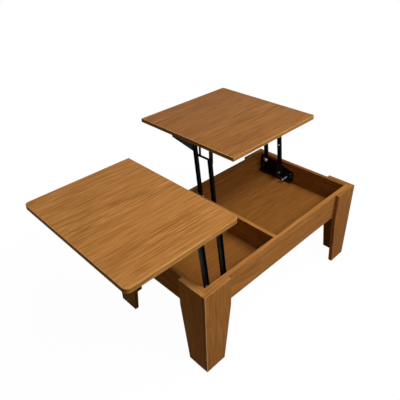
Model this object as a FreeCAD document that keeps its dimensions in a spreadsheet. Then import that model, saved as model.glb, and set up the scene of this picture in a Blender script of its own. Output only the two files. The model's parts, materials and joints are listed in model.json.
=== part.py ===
import FreeCAD, Part
import math
import os
import Sketcher

# Convertible coffee dining table: a low storage box on four corner legs, closed by two
# tops that swing up and outwards on spring lift arms. The near top moves along -X and
# the far top along +Y. Both are modelled raised. Lengths are in millimetres.

Vector = FreeCAD.Vector
Rotation = FreeCAD.Rotation
Placement = FreeCAD.Placement
UP = Vector(0, 0, 1)

DRIVING_SIZES = {
    # storage box and legs
    "frame_length": 1000,
    "frame_width": 566,
    "rim_height": 412,
    "rail_height": 127,
    "rail_board": 18,
    "leg_board": 18,
    "leg_width": 136,
    "leg_foot_width": 100,
    "divider_board": 18,
    "divider_offset": 64,
    "floor_board": 6,
    "groove_depth": 6,
    "groove_lip": 13,
    "groove_clearance": 0.2,
    "dowel_radius": 4,
    "dowel_length": 20,
    # tops
    "top_board": 18,
    "top_overhang": 17,
    "top_seam": 2,
    "rest_gap": 0.5,
    "edging": 2,
    "edge_round": 0.8,
    "near_corner_radius": 18,
    "far_corner_radius": 12,
    # lift arms and their pivots
    "arm_length": 256,
    "arm_width": 22,
    "arm_depth": 10,
    "arm_wall": 2,
    "arm_standoff": 5,
    "spare_hole_radius": 3,
    "lean_degrees": 6,
    "pivot_spread": 92,
    "pivot_fall": 42,
    "pivot_drop": 21,
    "near_pivot_inset": 23,
    "far_pivot_inset": 44,
    # base plates
    "plate_sheet": 2.5,
    "near_plate_reach": 22,
    "far_plate_reach": 42,
    "plate_inner_reach": 77,
    "plate_rise": 10,
    "plate_shoulder": 33,
    "plate_tail_height": 50,
    "plate_floor_gap": 14,
    "plate_lip": 14,
    "plate_screw_inset": 14,
    "plate_screw_low": 19,
    "plate_screw_high": 38,
    # pivot bolts, stops and rivets
    "pin_radius": 5,
    "pin_clearance": 0.06,
    "shoulder_radius": 8,
    "nut_radius": 8.5,
    "nut_height": 5,
    "face_gap": 0.2,
    "rivet_head_radius": 8,
    "rivet_head": 2.5,
    "stop_radius": 3,
    "stop_gap": 0.3,
    "stop_reach": 8,
    "anchor_radius": 5,
    "anchor_back": 38,
    "anchor_fall": 18.5,
    "anchor_overrun": 5,
    # torsion springs
    "spring_wire": 3,
    "spring_radius": 8,
    "spring_pitch": 3.8,
    "spring_arm_leg": 40,
    "spring_anchor_leg": 8,
    "spring_bend": 3.2,
    "spring_face_gap": 0.3,
    "spring_pin_gap": 0.3,
    "spring_hole_clearance": 0.7,
    "sleeve_clearance": 0.5,
    # top brackets
    "bracket_outer_reach": 160,
    "bracket_ear": 11.5,
    "bracket_eye": 8.5,
    "bracket_rim": 14.5,
    "gusset_root": 54,
    "gusset_tip": 27,
    "bracket_post_start": 18,
    "bracket_post": 12,
    "bracket_tie_drop": 46,
    "bracket_tie": 11,
    "bracket_flange": 25,
    "bracket_web_gap": 0.5,
    # wood screws
    "screw_head_radius": 4.2,
    "screw_head": 2.4,
    "screw_shank_radius": 2,
    "screw_hole_clearance": 0.2,
    "screw_length": 14,
}
SPRING_TURNS = 4
DOWEL_HEIGHT_SHARES = (0.28, 0.72)
LEG_DOWEL_SHARES = (0.42, 0.78)
SPARE_HOLE_SHARE = 0.61
BRACKET_SCREW_SHARES = (0.05, 0.3, 0.62, 0.95)

document = FreeCAD.newDocument("lift_table")
sheet = document.addObject("Spreadsheet::Sheet", "sizes")


def enter(row, name, number):
    """Write one named number into the sheet."""
    sheet.set(f"A{row}", name)
    sheet.set(f"B{row}", str(number))
    sheet.setAlias(f"B{row}", name)


for row, (name, number) in enumerate(DRIVING_SIZES.items(), start=1):
    enter(row, name, number)
document.recompute()

sub_parts = {}


def size(name):
    """The sheet's value of one driving dimension."""
    return float(sheet.get(name))


def keep(label, item):
    """Give a finished sub-part the label that names its file."""
    item.Label = label
    sub_parts[label] = item
    return item


def bind(item, **expressions):
    """Tie properties of a document object to cells of the sheet."""
    for name, expression in expressions.items():
        item.setExpression(name, expression)
    return item


# Basic forms


def box(name, length, width, height, corner):
    """A board with its three sizes bound to the sheet and its lowest corner placed."""
    item = document.addObject("Part::Box", name)
    bind(item, Length=length, Width=width, Height=height)
    item.Placement.Base = corner
    return item


def cylinder(name, radius, height, placement):
    item = document.addObject("Part::Cylinder", name)
    bind(item, Radius=radius, Height=height)
    item.Placement = placement
    return item


def hexagon(name, radius, height, placement):
    item = document.addObject("Part::Prism", name)
    item.Polygon = 6
    bind(item, Circumradius=radius, Height=height)
    item.Placement = placement
    return item


def fused(name, pieces):
    item = document.addObject("Part::MultiFuse", name)
    item.Shapes = pieces
    return item


def grouped(name, pieces):
    item = document.addObject("Part::Compound", name)
    item.Links = pieces
    return item


def cut(name, base, tool):
    item = document.addObject("Part::Cut", name)
    item.Base = base
    item.Tool = tool
    return item


def new_sketch(body, name, role="XY_Plane", offset="0"):
    """A sketch on one origin plane of its body, moved along the plane's normal."""
    sketch = body.newObject("Sketcher::SketchObject", name)
    plane = next(item for item in body.Origin.OriginFeatures if item.Role == role)
    sketch.AttachmentSupport = [(plane, "")]
    sketch.MapMode = "FlatFace"
    sketch.setExpression("AttachmentOffset.Base.z", offset)
    return sketch


def dimension(sketch, kind, geometry, point, expression):
    """Bind the distance of a sketch point from the origin along one axis."""
    index = sketch.addConstraint(Sketcher.Constraint(kind, -1, 1, geometry, point, 1.0))
    sketch.setExpression(f"Constraints[{index}]", expression)


def outline(sketch, corners):
    """A closed polygon whose corners are pairs of expressions."""
    first = sketch.GeometryCount
    count = len(corners)
    ring = []
    for number in range(count):
        turn = 2 * math.pi * number / count
        ring.append(Vector(math.cos(turn), math.sin(turn), 0))
    for number in range(count):
        sketch.addGeometry(Part.LineSegment(ring[number], ring[(number + 1) % count]), False)
    for number in range(count):
        after = first + (number + 1) % count
        sketch.addConstraint(Sketcher.Constraint("Coincident", first + number, 2, after, 1))
    for number, (across, along) in enumerate(corners):
        dimension(sketch, "DistanceX", first + number, 1, across)
        dimension(sketch, "DistanceY", first + number, 1, along)


def hole(sketch, across, along, radius):
    """A circle bound in place and radius by expressions."""
    circle = Part.Circle(Vector(1, 1, 0), UP, 1)
    index = sketch.addGeometry(circle, False)
    dimension(sketch, "DistanceX", index, 3, across)
    dimension(sketch, "DistanceY", index, 3, along)
    constraint = sketch.addConstraint(Sketcher.Constraint("Radius", index, 1.0))
    sketch.setExpression(f"Constraints[{constraint}]", radius)


def slot(sketch, radius, radius_now):
    """A long round-ended outline from the origin to the arm's far pivot."""
    length_now = size("arm_length")
    quarter = math.pi / 2
    start = Part.Circle(Vector(0, 0, 0), UP, radius_now)
    end = Part.Circle(Vector(length_now, 0, 0), UP, radius_now)
    near_arc = sketch.addGeometry(Part.ArcOfCircle(start, quarter, 3 * quarter), False)
    far_arc = sketch.addGeometry(Part.ArcOfCircle(end, -quarter, quarter), False)
    low_side = (Vector(0, -radius_now, 0), Vector(length_now, -radius_now, 0))
    high_side = (Vector(length_now, radius_now, 0), Vector(0, radius_now, 0))
    low = sketch.addGeometry(Part.LineSegment(*low_side), False)
    high = sketch.addGeometry(Part.LineSegment(*high_side), False)
    for first, first_end, second, second_end in (
        (near_arc, 2, low, 1),
        (low, 2, far_arc, 1),
        (far_arc, 2, high, 1),
        (high, 2, near_arc, 1),
    ):
        joint = Sketcher.Constraint("Tangent", first, first_end, second, second_end)
        sketch.addConstraint(joint)
    sketch.addConstraint(Sketcher.Constraint("Equal", near_arc, far_arc))
    sketch.addConstraint(Sketcher.Constraint("Coincident", near_arc, 3, -1, 1))
    sketch.addConstraint(Sketcher.Constraint("PointOnObject", far_arc, 3, -1))
    index = sketch.addConstraint(
        Sketcher.Constraint("DistanceX", -1, 1, far_arc, 3, length_now)
    )
    sketch.setExpression(f"Constraints[{index}]", "sizes.arm_length")
    index = sketch.addConstraint(Sketcher.Constraint("Radius", near_arc, radius_now))
    sketch.setExpression(f"Constraints[{index}]", radius)


def pad(body, sketch, length, name, reverse=False):
    item = body.newObject("PartDesign::Pad", name)
    item.Profile = sketch
    item.Reversed = reverse
    bind(item, Length=length)
    return item


def rounded(body, base, name, radius, chosen):
    """Round the edges of a feature that pass a test."""
    document.recompute()
    edges = []
    for number, edge in enumerate(base.Shape.Edges, start=1):
        if chosen(edge):
            edges.append(f"Edge{number}")
    item = body.newObject("PartDesign::Fillet", name)
    item.Base = (base, edges)
    bind(item, Radius=radius)
    return item


# Places worked out from the driving sizes

lean = math.radians(size("lean_degrees"))
top_rise = size("arm_length") * math.cos(lean)
swing_out = size("arm_length") * (1 + math.sin(lean))
rise_to_pivot = Vector(math.sin(lean), math.cos(lean), 0) * size("arm_length")

# The origin is on the floor under the middle of the opened table, so the box stands
# half a swing away from it along both axes.
centre = Vector(swing_out / 2, -swing_out / 2, 0)

half_length = size("frame_length") / 2
half_width = size("frame_width") / 2
rail_outer_x = half_length - size("leg_board")
rail_outer_y = half_width - size("leg_board")
inner_x = rail_outer_x - size("rail_board")
inner_y = rail_outer_y - size("rail_board")
rail_bottom = size("rim_height") - size("rail_height")
floor_top = rail_bottom + size("groove_lip") + size("floor_board")
seam_x = -size("divider_offset")

RAIL_LENGTH = "sizes.frame_length - 2 * sizes.leg_board"
BOX_LENGTH = f"{RAIL_LENGTH} - 2 * sizes.rail_board"
BOX_WIDTH = "sizes.frame_width - 2 * sizes.leg_board - 2 * sizes.rail_board"
GROOVE_HEIGHT = "sizes.floor_board + sizes.groove_clearance"
PANEL_REACH = "2 * (sizes.groove_depth - sizes.groove_clearance)"


# Storage box


def dowel(name, point, axis):
    """One dowel, centred on the joint between two boards."""
    turn = Rotation(UP, axis)
    start = point - axis * (size("dowel_length") / 2)
    place = Placement(centre + start, turn)
    return cylinder(name, "sizes.dowel_radius", "sizes.dowel_length", place)


def box_dowels():
    """Dowels that join the end rails and the divider to the long rails."""
    pieces = []
    axis = Vector(0, 1, 0)
    ends = (
        -inner_x - size("rail_board") / 2,
        seam_x,
        inner_x + size("rail_board") / 2,
    )
    for column, across in enumerate(ends):
        for side in (-1, 1):
            for row, share in enumerate(DOWEL_HEIGHT_SHARES):
                height = rail_bottom + share * size("rail_height")
                point = Vector(across, side * inner_y, height)
                pieces.append(dowel(f"box_dowel_{column}_{side + 1}_{row}", point, axis))
    return keep("box_dowels", grouped("box_dowel_set", pieces))


def leg_dowels():
    """Dowels that join each leg board to the rail behind it."""
    pieces = []
    for end in (-1, 1):
        for side in (-1, 1):
            for row, share in enumerate(DOWEL_HEIGHT_SHARES):
                height = rail_bottom + share * size("rail_height")
                for column, along in enumerate(LEG_DOWEL_SHARES):
                    inset = along * size("leg_width")
                    tag = f"{end + 1}_{side + 1}_{row}_{column}"
                    point = Vector(end * (half_length - inset), side * rail_outer_y, height)
                    pieces.append(dowel(f"side_dowel_{tag}", point, Vector(0, 1, 0)))
                    point = Vector(end * rail_outer_x, side * (half_width - inset), height)
                    pieces.append(dowel(f"end_dowel_{tag}", point, Vector(1, 0, 0)))
    return keep("leg_dowels", grouped("leg_dowel_set", pieces))


def long_rail(label, side, tool):
    """A front or back rail, grooved for the floor panel."""
    low = Vector(-rail_outer_x, min(side * inner_y, side * rail_outer_y), rail_bottom)
    board = box(f"{label}_board", RAIL_LENGTH, "sizes.rail_board", "sizes.rail_height", centre + low)
    groove_y = inner_y if side > 0 else -inner_y - size("groove_depth")
    low = Vector(-rail_outer_x, groove_y, rail_bottom + size("groove_lip"))
    groove = box(f"{label}_groove", RAIL_LENGTH, "sizes.groove_depth", GROOVE_HEIGHT, centre + low)
    grooved = cut(f"{label}_grooved", board, groove)
    return keep(label, cut(f"{label}_drilled", grooved, tool))


def end_rail(label, end, tool):
    """A short rail between the long rails, grooved for the floor panel."""
    low = Vector(min(end * inner_x, end * rail_outer_x), -inner_y, rail_bottom)
    board = box(f"{label}_board", "sizes.rail_board", BOX_WIDTH, "sizes.rail_height", centre + low)
    groove_x = inner_x if end > 0 else -inner_x - size("groove_depth")
    low = Vector(groove_x, -inner_y, rail_bottom + size("groove_lip"))
    groove = box(f"{label}_groove", "sizes.groove_depth", BOX_WIDTH, GROOVE_HEIGHT, centre + low)
    grooved = cut(f"{label}_grooved", board, groove)
    return keep(label, cut(f"{label}_drilled", grooved, tool))


def floor_panel():
    """The storage floor, held in the grooves of all four rails."""
    reach = size("groove_depth") - size("groove_clearance")
    low = Vector(-inner_x - reach, -inner_y - reach, rail_bottom + size("groove_lip"))
    panel = box(
        "floor_board",
        f"{BOX_LENGTH} + {PANEL_REACH}",
        f"{BOX_WIDTH} + {PANEL_REACH}",
        "sizes.floor_board",
        centre + low,
    )
    return keep("floor_panel", panel)


def divider(tool):
    """The upright board under the seam of the two tops."""
    low = Vector(seam_x - size("divider_board") / 2, -inner_y, floor_top)
    height = "sizes.rail_height - sizes.groove_lip - sizes.floor_board"
    board = box("divider_blank", "sizes.divider_board", BOX_WIDTH, height, centre + low)
    return keep("divider", cut("divider_drilled", board, tool))


# Legs


def leg_half(label, corner, inward, thickness_way, start, tool):
    """One board of a corner leg: full width beside the rail, then tapered to the foot.

    corner is the leg's outer corner, inward runs along the board from that corner and
    thickness_way points from the board's outer face into the table.
    """
    body = document.addObject("PartDesign::Body", f"{label}_body")
    sketch = new_sketch(body, f"{label}_outline")
    shoulder = "sizes.rim_height - sizes.rail_height"
    outline(
        sketch,
        [
            (start, "0"),
            ("sizes.leg_foot_width", "0"),
            ("sizes.leg_width", shoulder),
            ("sizes.leg_width", "sizes.rim_height"),
            (start, "sizes.rim_height"),
        ],
    )
    pad(body, sketch, "sizes.leg_board", f"{label}_pad")
    normal = inward.cross(UP)
    base = corner if normal.dot(thickness_way) > 0 else corner + thickness_way * size("leg_board")
    body.Placement = Placement(centre + base, Rotation(inward, UP, normal, "XYZ"))
    return keep(label, cut(f"{label}_drilled", body, tool))


def legs(tool):
    """Four corner legs, each of a side board and an end board that butts behind it."""
    for side_name, side in (("front", -1), ("back", 1)):
        for end_name, end in (("near", -1), ("far", 1)):
            corner = Vector(end * half_length, side * half_width, 0)
            lengthways = Vector(-end, 0, 0)
            crossways = Vector(0, -side, 0)
            name = f"{side_name}_{end_name}_leg"
            leg_half(f"{name}_side", corner, lengthways, crossways, "0", tool)
            leg_half(f"{name}_end", corner, crossways, lengthways, "sizes.leg_board", tool)


# Tops


def slab(name, length, width, inset, corner_radius, corner_test, place):
    """A board body set in by an inset on all sides, with some corners rounded."""
    body = document.addObject("PartDesign::Body", name)
    sketch = new_sketch(body, f"{name}_outline")
    outline(
        sketch,
        [
            (inset, inset),
            (f"{length} - ({inset})", inset),
            (f"{length} - ({inset})", f"{width} - ({inset})"),
            (inset, f"{width} - ({inset})"),
        ],
    )
    blank = pad(body, sketch, "sizes.top_board", f"{name}_pad")

    def upright(edge):
        ends = edge.Vertexes
        same_x = abs(ends[0].X - ends[1].X) < Part.Precision.confusion()
        same_y = abs(ends[0].Y - ends[1].Y) < Part.Precision.confusion()
        return same_x and same_y and corner_test(ends[0])

    corners = rounded(body, blank, f"{name}_corners", f"{corner_radius} - ({inset})", upright)
    body.Placement = place
    return body, corners


def top(label, length, corner_radius, corner_test, corner, screws):
    """A top: a core board with an edge band all round it."""
    width = "sizes.frame_width + 2 * sizes.top_overhang"
    place = Placement(centre + corner, Rotation())
    core, _ = slab(f"{label}_core", length, width, "sizes.edging", corner_radius, corner_test, place)
    whole, corners = slab(f"{label}_whole", length, width, "0", corner_radius, corner_test, place)

    def level(edge):
        box_of_edge = edge.BoundBox
        return box_of_edge.ZLength < Part.Precision.confusion()

    rounded(whole, corners, f"{label}_soft", "sizes.edge_round", level)
    keep(f"{label}_edging", cut(f"{label}_band", whole, core))
    return keep(label, cut(f"{label}_drilled", core, screws))


# Lift mechanisms, drawn in a frame of their own: U outwards, V up, W off the rail

ARM_START = "sizes.plate_sheet + sizes.arm_standoff"
ARM_WEB = f"{ARM_START} + sizes.arm_depth - sizes.arm_wall"
arm_start = size("plate_sheet") + size("arm_standoff")
arm_web = arm_start + size("arm_depth") - size("arm_wall")
arm_face = arm_start + size("arm_depth")
bracket_web = arm_face + size("bracket_web_gap")
trail_pivot = Vector(-size("pivot_spread"), -size("pivot_fall"), 0)
plate_bottom = floor_top + size("plate_floor_gap") - size("rim_height") + size("pivot_drop")
PLATE_BOTTOM = (
    "sizes.pivot_drop + sizes.groove_lip + sizes.floor_board"
    " + sizes.plate_floor_gap - sizes.rail_height"
)
PLATE_END = "-sizes.pivot_spread - sizes.plate_inner_reach"
BRACKET_TOP = "sizes.pivot_drop + sizes.rest_gap"
bracket_top = size("pivot_drop") + size("rest_gap")
SCREW_HOLE = "sizes.screw_shank_radius + sizes.screw_hole_clearance"
PIN_HOLE = "sizes.pin_radius + sizes.pin_clearance"
coil_start = arm_face + size("spring_face_gap") + size("spring_wire") / 2


class Lift:
    """One lift mechanism: where it stands, which way it opens and on which side it lies."""

    def __init__(self, name, face_point, outwards, side, plate_reach):
        self.name = name
        self.side = side
        self.plate_reach = plate_reach
        turn = Rotation(outwards, UP, outwards.cross(UP), "XYZ")
        self.place = Placement(centre + face_point, turn)

    def at(self, across, along, off, turn_degrees=0):
        """A placement at U, V and W of this mechanism, turned about W."""
        spot = Placement(
            Vector(across, along, self.side * off), Rotation(UP, turn_degrees)
        )
        return self.place.multiply(spot)

    def axis_at(self, across, along, off):
        """A placement whose Z axis points off the rail, for bolts, pins and rivets."""
        spot = self.at(across, along, off)
        if self.side > 0:
            return spot
        return spot.multiply(Placement(Vector(), Rotation(Vector(1, 0, 0), 180)))


def stack(lift, name, point, start, layers):
    """A turned piece: round or hexagonal layers one after another along W."""
    pieces = []
    off = start
    for number, (form, radius, height, height_now) in enumerate(layers):
        place = lift.axis_at(point.x, point.y, off)
        pieces.append(form(f"{lift.name}_{name}_{number}", radius, height, place))
        off += height_now
    if len(pieces) == 1:
        return pieces[0]
    return fused(f"{lift.name}_{name}", pieces)


def base_plate(lift):
    """A pressed plate on the rail, with a stiffening lip along its foot."""
    label = f"{lift.name}_base_plate"
    body = document.addObject("PartDesign::Body", f"{label}_body")
    sketch = new_sketch(body, f"{label}_outline")
    reach = f"sizes.{lift.plate_reach}"
    outline(
        sketch,
        [
            (reach, PLATE_BOTTOM),
            (reach, "sizes.plate_rise"),
            ("-sizes.plate_shoulder", "sizes.plate_rise"),
            (PLATE_END, f"{PLATE_BOTTOM} + sizes.plate_tail_height"),
            (PLATE_END, PLATE_BOTTOM),
        ],
    )
    for across in (
        f"{reach} - sizes.plate_screw_inset",
        f"{PLATE_END} + sizes.plate_screw_inset",
    ):
        for along in ("sizes.plate_screw_low", "sizes.plate_screw_high"):
            hole(sketch, across, f"{PLATE_BOTTOM} + {along}", SCREW_HOLE)
    pad(body, sketch, "sizes.plate_sheet", f"{label}_pad", lift.side < 0)
    lip = new_sketch(body, f"{label}_lip_outline")
    outline(
        lip,
        [
            (reach, PLATE_BOTTOM),
            (reach, f"{PLATE_BOTTOM} + sizes.plate_sheet"),
            (PLATE_END, f"{PLATE_BOTTOM} + sizes.plate_sheet"),
            (PLATE_END, PLATE_BOTTOM),
        ],
    )
    pad(body, lip, "sizes.plate_lip", f"{label}_lip", lift.side < 0)
    body.Placement = lift.at(0, 0, 0)
    return keep(label, body)


def plate_screws(lift):
    """Screws that hold a base plate to its rail."""
    pieces = []
    plate_end = -size("pivot_spread") - size("plate_inner_reach")
    inset = size("plate_screw_inset")
    for across in (size(lift.plate_reach) - inset, plate_end + inset):
        for along in (size("plate_screw_low"), size("plate_screw_high")):
            point = Vector(across, plate_bottom + along, 0)
            reach = size("screw_length")
            layers = [
                (cylinder, "sizes.screw_shank_radius", "sizes.screw_length", reach),
                (cylinder, "sizes.screw_head_radius", "sizes.screw_head", size("screw_head")),
            ]
            start = size("plate_sheet") - reach
            pieces.append(stack(lift, f"plate_screw_{len(pieces)}", point, start, layers))
    return pieces


def pivot_bolts(lift):
    """The two lower pivot bolts, the stop pin and the spring's anchor pin."""
    gap = size("face_gap")
    shoulder = arm_web - gap - size("plate_sheet")
    shank = size("arm_wall") + 2 * gap
    shoulder_layer = (
        cylinder,
        "sizes.shoulder_radius",
        f"{ARM_WEB} - sizes.face_gap - sizes.plate_sheet",
        shoulder,
    )
    shank_layer = (cylinder, "sizes.pin_radius", "sizes.arm_wall + 2 * sizes.face_gap", shank)
    nut_layer = (hexagon, "sizes.nut_radius", "sizes.nut_height", size("nut_height"))
    coil = coil_length()
    sleeve_layer = (
        cylinder,
        "sizes.spring_radius - sizes.spring_wire / 2 - sizes.sleeve_clearance",
        COIL_LENGTH,
        coil,
    )
    start = size("plate_sheet")
    lead_layers = [shoulder_layer, shank_layer, nut_layer]
    lead = stack(lift, "lead_bolt", Vector(), start, lead_layers)
    trail_layers = [shoulder_layer, shank_layer, sleeve_layer, nut_layer]
    trail = stack(lift, "trail_bolt", trail_pivot, start, trail_layers)
    stop_side = size("arm_width") / 2 + size("stop_radius") + size("stop_gap")
    stop_point = Vector(
        size("stop_reach") * math.sin(lean) + stop_side * math.cos(lean),
        size("stop_reach") * math.cos(lean) - stop_side * math.sin(lean),
        0,
    )
    stop_height = f"{ARM_START} + sizes.arm_depth - sizes.plate_sheet"
    stop_layers = [(cylinder, "sizes.stop_radius", stop_height, arm_face - start)]
    stop = stack(lift, "stop_pin", stop_point, start, stop_layers)
    anchor_length = arm_face + coil + size("anchor_overrun") - start
    anchor_height = f"{stop_height} + {COIL_LENGTH} + sizes.anchor_overrun"
    anchor_layers = [(cylinder, "sizes.anchor_radius", anchor_height, anchor_length)]
    anchor = stack(lift, "anchor_pin", anchor_point(), start, anchor_layers)
    pins = grouped(f"{lift.name}_bolt_set", [lead, trail, stop, anchor])
    return keep(f"{lift.name}_pivot_bolts", pins)


def arm(lift, role, pivot):
    """A pressed channel arm with a pivot hole at each end."""
    label = f"{lift.name}_{role}_arm"
    body = document.addObject("PartDesign::Body", f"{label}_body")
    half = size("arm_width") / 2
    walls = new_sketch(body, f"{label}_walls", offset=f"{lift.side} * ({ARM_START})")
    slot(walls, "sizes.arm_width / 2", half)
    slot(walls, "sizes.arm_width / 2 - sizes.arm_wall", half - size("arm_wall"))
    pad(body, walls, "sizes.arm_depth - sizes.arm_wall", f"{label}_sides", lift.side < 0)
    web = new_sketch(body, f"{label}_web", offset=f"{lift.side} * ({ARM_WEB})")
    slot(web, "sizes.arm_width / 2", half)
    hole(web, "0", "0", PIN_HOLE)
    hole(web, "sizes.arm_length", "0", PIN_HOLE)
    if role == "trail":
        wire_hole = "sizes.spring_wire / 2 + sizes.spring_hole_clearance"
        hole(web, "sizes.spring_arm_leg + sizes.spring_bend", "-sizes.spring_radius", wire_hole)
        spare_place = f"{SPARE_HOLE_SHARE} * sizes.arm_length"
        hole(web, spare_place, "0", "sizes.spare_hole_radius")
    pad(body, web, "sizes.arm_wall", f"{label}_face", lift.side < 0)
    body.Placement = lift.at(pivot.x, pivot.y, 0, 90 - size("lean_degrees"))
    return keep(label, body)


def bracket_screw_places():
    """U and W of the screws through a top bracket's flange."""
    low = -size("pivot_spread") - size("bracket_ear")
    span = size("bracket_outer_reach") - low
    off = bracket_web + size("plate_sheet") + size("bracket_flange") / 2
    return [(low + share * span, off) for share in BRACKET_SCREW_SHARES]


def top_bracket(lift):
    """The angle under a top: a windowed web with a gusset, and a screwed flange."""
    label = f"{lift.name}_top_bracket"
    body = document.addObject("PartDesign::Body", f"{label}_body")
    start = f"{lift.side} * ({ARM_START} + sizes.arm_depth + sizes.bracket_web_gap)"
    web = new_sketch(body, f"{label}_web", offset=start)
    outer = "sizes.bracket_outer_reach"
    rim = f"{BRACKET_TOP} - sizes.bracket_rim"
    ear = "sizes.bracket_ear"
    inner_leg = "sizes.bracket_ear - sizes.pivot_spread"
    end = "-sizes.pivot_spread - sizes.bracket_ear"
    tie = "-sizes.bracket_tie_drop"
    foot = "-sizes.pivot_fall - sizes.bracket_ear"
    outline(
        web,
        [
            (outer, BRACKET_TOP),
            (outer, f"{BRACKET_TOP} - sizes.gusset_tip"),
            (ear, f"{BRACKET_TOP} - sizes.gusset_root"),
            (ear, tie),
            (inner_leg, tie),
            (inner_leg, foot),
            (end, foot),
            (end, BRACKET_TOP),
        ],
    )
    for window_start, window_end in (
        ("-sizes.bracket_eye", "-sizes.bracket_post_start"),
        ("-sizes.bracket_post_start - sizes.bracket_post", inner_leg),
    ):
        outline(
            web,
            [
                (window_start, rim),
                (window_start, f"{tie} + sizes.bracket_tie"),
                (window_end, f"{tie} + sizes.bracket_tie"),
                (window_end, rim),
            ],
        )
    hole(web, "0", "0", PIN_HOLE)
    hole(web, "-sizes.pivot_spread", "-sizes.pivot_fall", PIN_HOLE)
    pad(body, web, "sizes.plate_sheet", f"{label}_plate", lift.side < 0)
    flange = new_sketch(body, f"{label}_flange_outline", "XZ_Plane", f"-({BRACKET_TOP})")
    reach = f"{lift.side} * (sizes.plate_sheet + sizes.bracket_flange)"
    outline(
        flange,
        [
            (outer, start),
            (outer, f"{start} + {reach}"),
            (end, f"{start} + {reach}"),
            (end, start),
        ],
    )
    middle = f"{lift.side} * (sizes.plate_sheet + sizes.bracket_flange / 2)"
    for share in BRACKET_SCREW_SHARES:
        across = f"{end} + {share} * ({outer} - ({end}))"
        hole(flange, across, f"{start} + {middle}", SCREW_HOLE)
    pad(body, flange, "sizes.plate_sheet", f"{label}_flange")
    body.Placement = lift.at(rise_to_pivot.x, rise_to_pivot.y, 0)
    return keep(label, body)


def top_rivets(lift):
    """The rivets that hang both arms on the top bracket."""
    gap = size("face_gap")
    head = size("rivet_head")
    grip = gap + arm_face - arm_web + size("bracket_web_gap") + size("plate_sheet")
    grip_height = (
        "sizes.face_gap + sizes.arm_wall + sizes.bracket_web_gap + sizes.plate_sheet"
    )
    layers = [
        (cylinder, "sizes.rivet_head_radius", "sizes.rivet_head", head),
        (cylinder, "sizes.pin_radius", grip_height, grip),
        (cylinder, "sizes.rivet_head_radius", "sizes.rivet_head", head),
    ]
    start = arm_web - gap - head
    lead = stack(lift, "lead_rivet", rise_to_pivot, start, layers)
    trail = stack(lift, "trail_rivet", rise_to_pivot + trail_pivot, start, layers)
    return keep(f"{lift.name}_top_rivets", grouped(f"{lift.name}_rivet_set", [lead, trail]))


def bracket_screws(lift):
    """Screws up through a top bracket's flange into the top."""
    pieces = []
    underside = rise_to_pivot.y + bracket_top - size("plate_sheet")
    for number, (across, off) in enumerate(bracket_screw_places()):
        name = f"{lift.name}_bracket_screw_{number}"
        spot = lift.at(rise_to_pivot.x + across, underside, off)
        stand = Placement(spot.Base, Rotation())
        sunk = Placement(spot.Base - UP * size("screw_head"), Rotation())
        shank = cylinder(f"{name}_shank", "sizes.screw_shank_radius", "sizes.screw_length", stand)
        head = cylinder(f"{name}_head", "sizes.screw_head_radius", "sizes.screw_head", sunk)
        pieces.append(fused(name, [head, shank]))
    return pieces


# Torsion springs round the trail pivots


def anchor_point():
    """U and V of the pin that a spring's fixed leg bears on."""
    return trail_pivot - Vector(size("anchor_back"), size("anchor_fall"), 0)


def anchor_leg():
    """The fixed leg's direction and its distance from the coil to the anchor pin."""
    run = anchor_point() - trail_pivot
    apart = size("spring_radius") + size("anchor_radius") + size("spring_wire") / 2
    apart += size("spring_pin_gap")
    angle = math.atan2(run.y, run.x) - math.asin(apart / run.Length)
    return angle, math.sqrt(run.Length**2 - apart**2)


def coil_sweep():
    """The angle in radians that a spring's wire turns through, arm leg to fixed leg."""
    leave = anchor_leg()[0] + math.pi / 2
    part_turn = (-lean - leave) % (2 * math.pi)
    return 2 * math.pi * SPRING_TURNS + part_turn


def coil_length():
    """The room that a coil takes along its pivot bolt."""
    climb = size("spring_pitch") * size("coil_turns")
    return 2 * size("spring_face_gap") + size("spring_wire") + climb


def smooth_pair(start, start_way, end, end_way):
    """Two tangent arcs from one point and direction to another."""
    run = end - start
    both = start_way + end_way
    spread = 2 * (1 - start_way.dot(end_way))
    along = run.dot(both)
    reach = (math.sqrt(along**2 + spread * run.dot(run)) - along) / spread
    first_corner = start + start_way * reach
    last_corner = end - end_way * reach
    meeting = (first_corner + last_corner) * 0.5
    return [arc_past(start, first_corner, meeting), arc_past(meeting, last_corner, end)]


def arc_past(start, corner, end):
    """The arc between two points whose tangents cross at a corner."""
    middle = (start + end) * 0.5
    half = (end - start).Length / 2
    rise = (corner - middle).Length
    sagitta = half * math.tan(math.atan2(rise, half) / 2)
    return Part.Arc(start, middle + (corner - middle) * (sagitta / rise), end).toShape()


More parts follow.
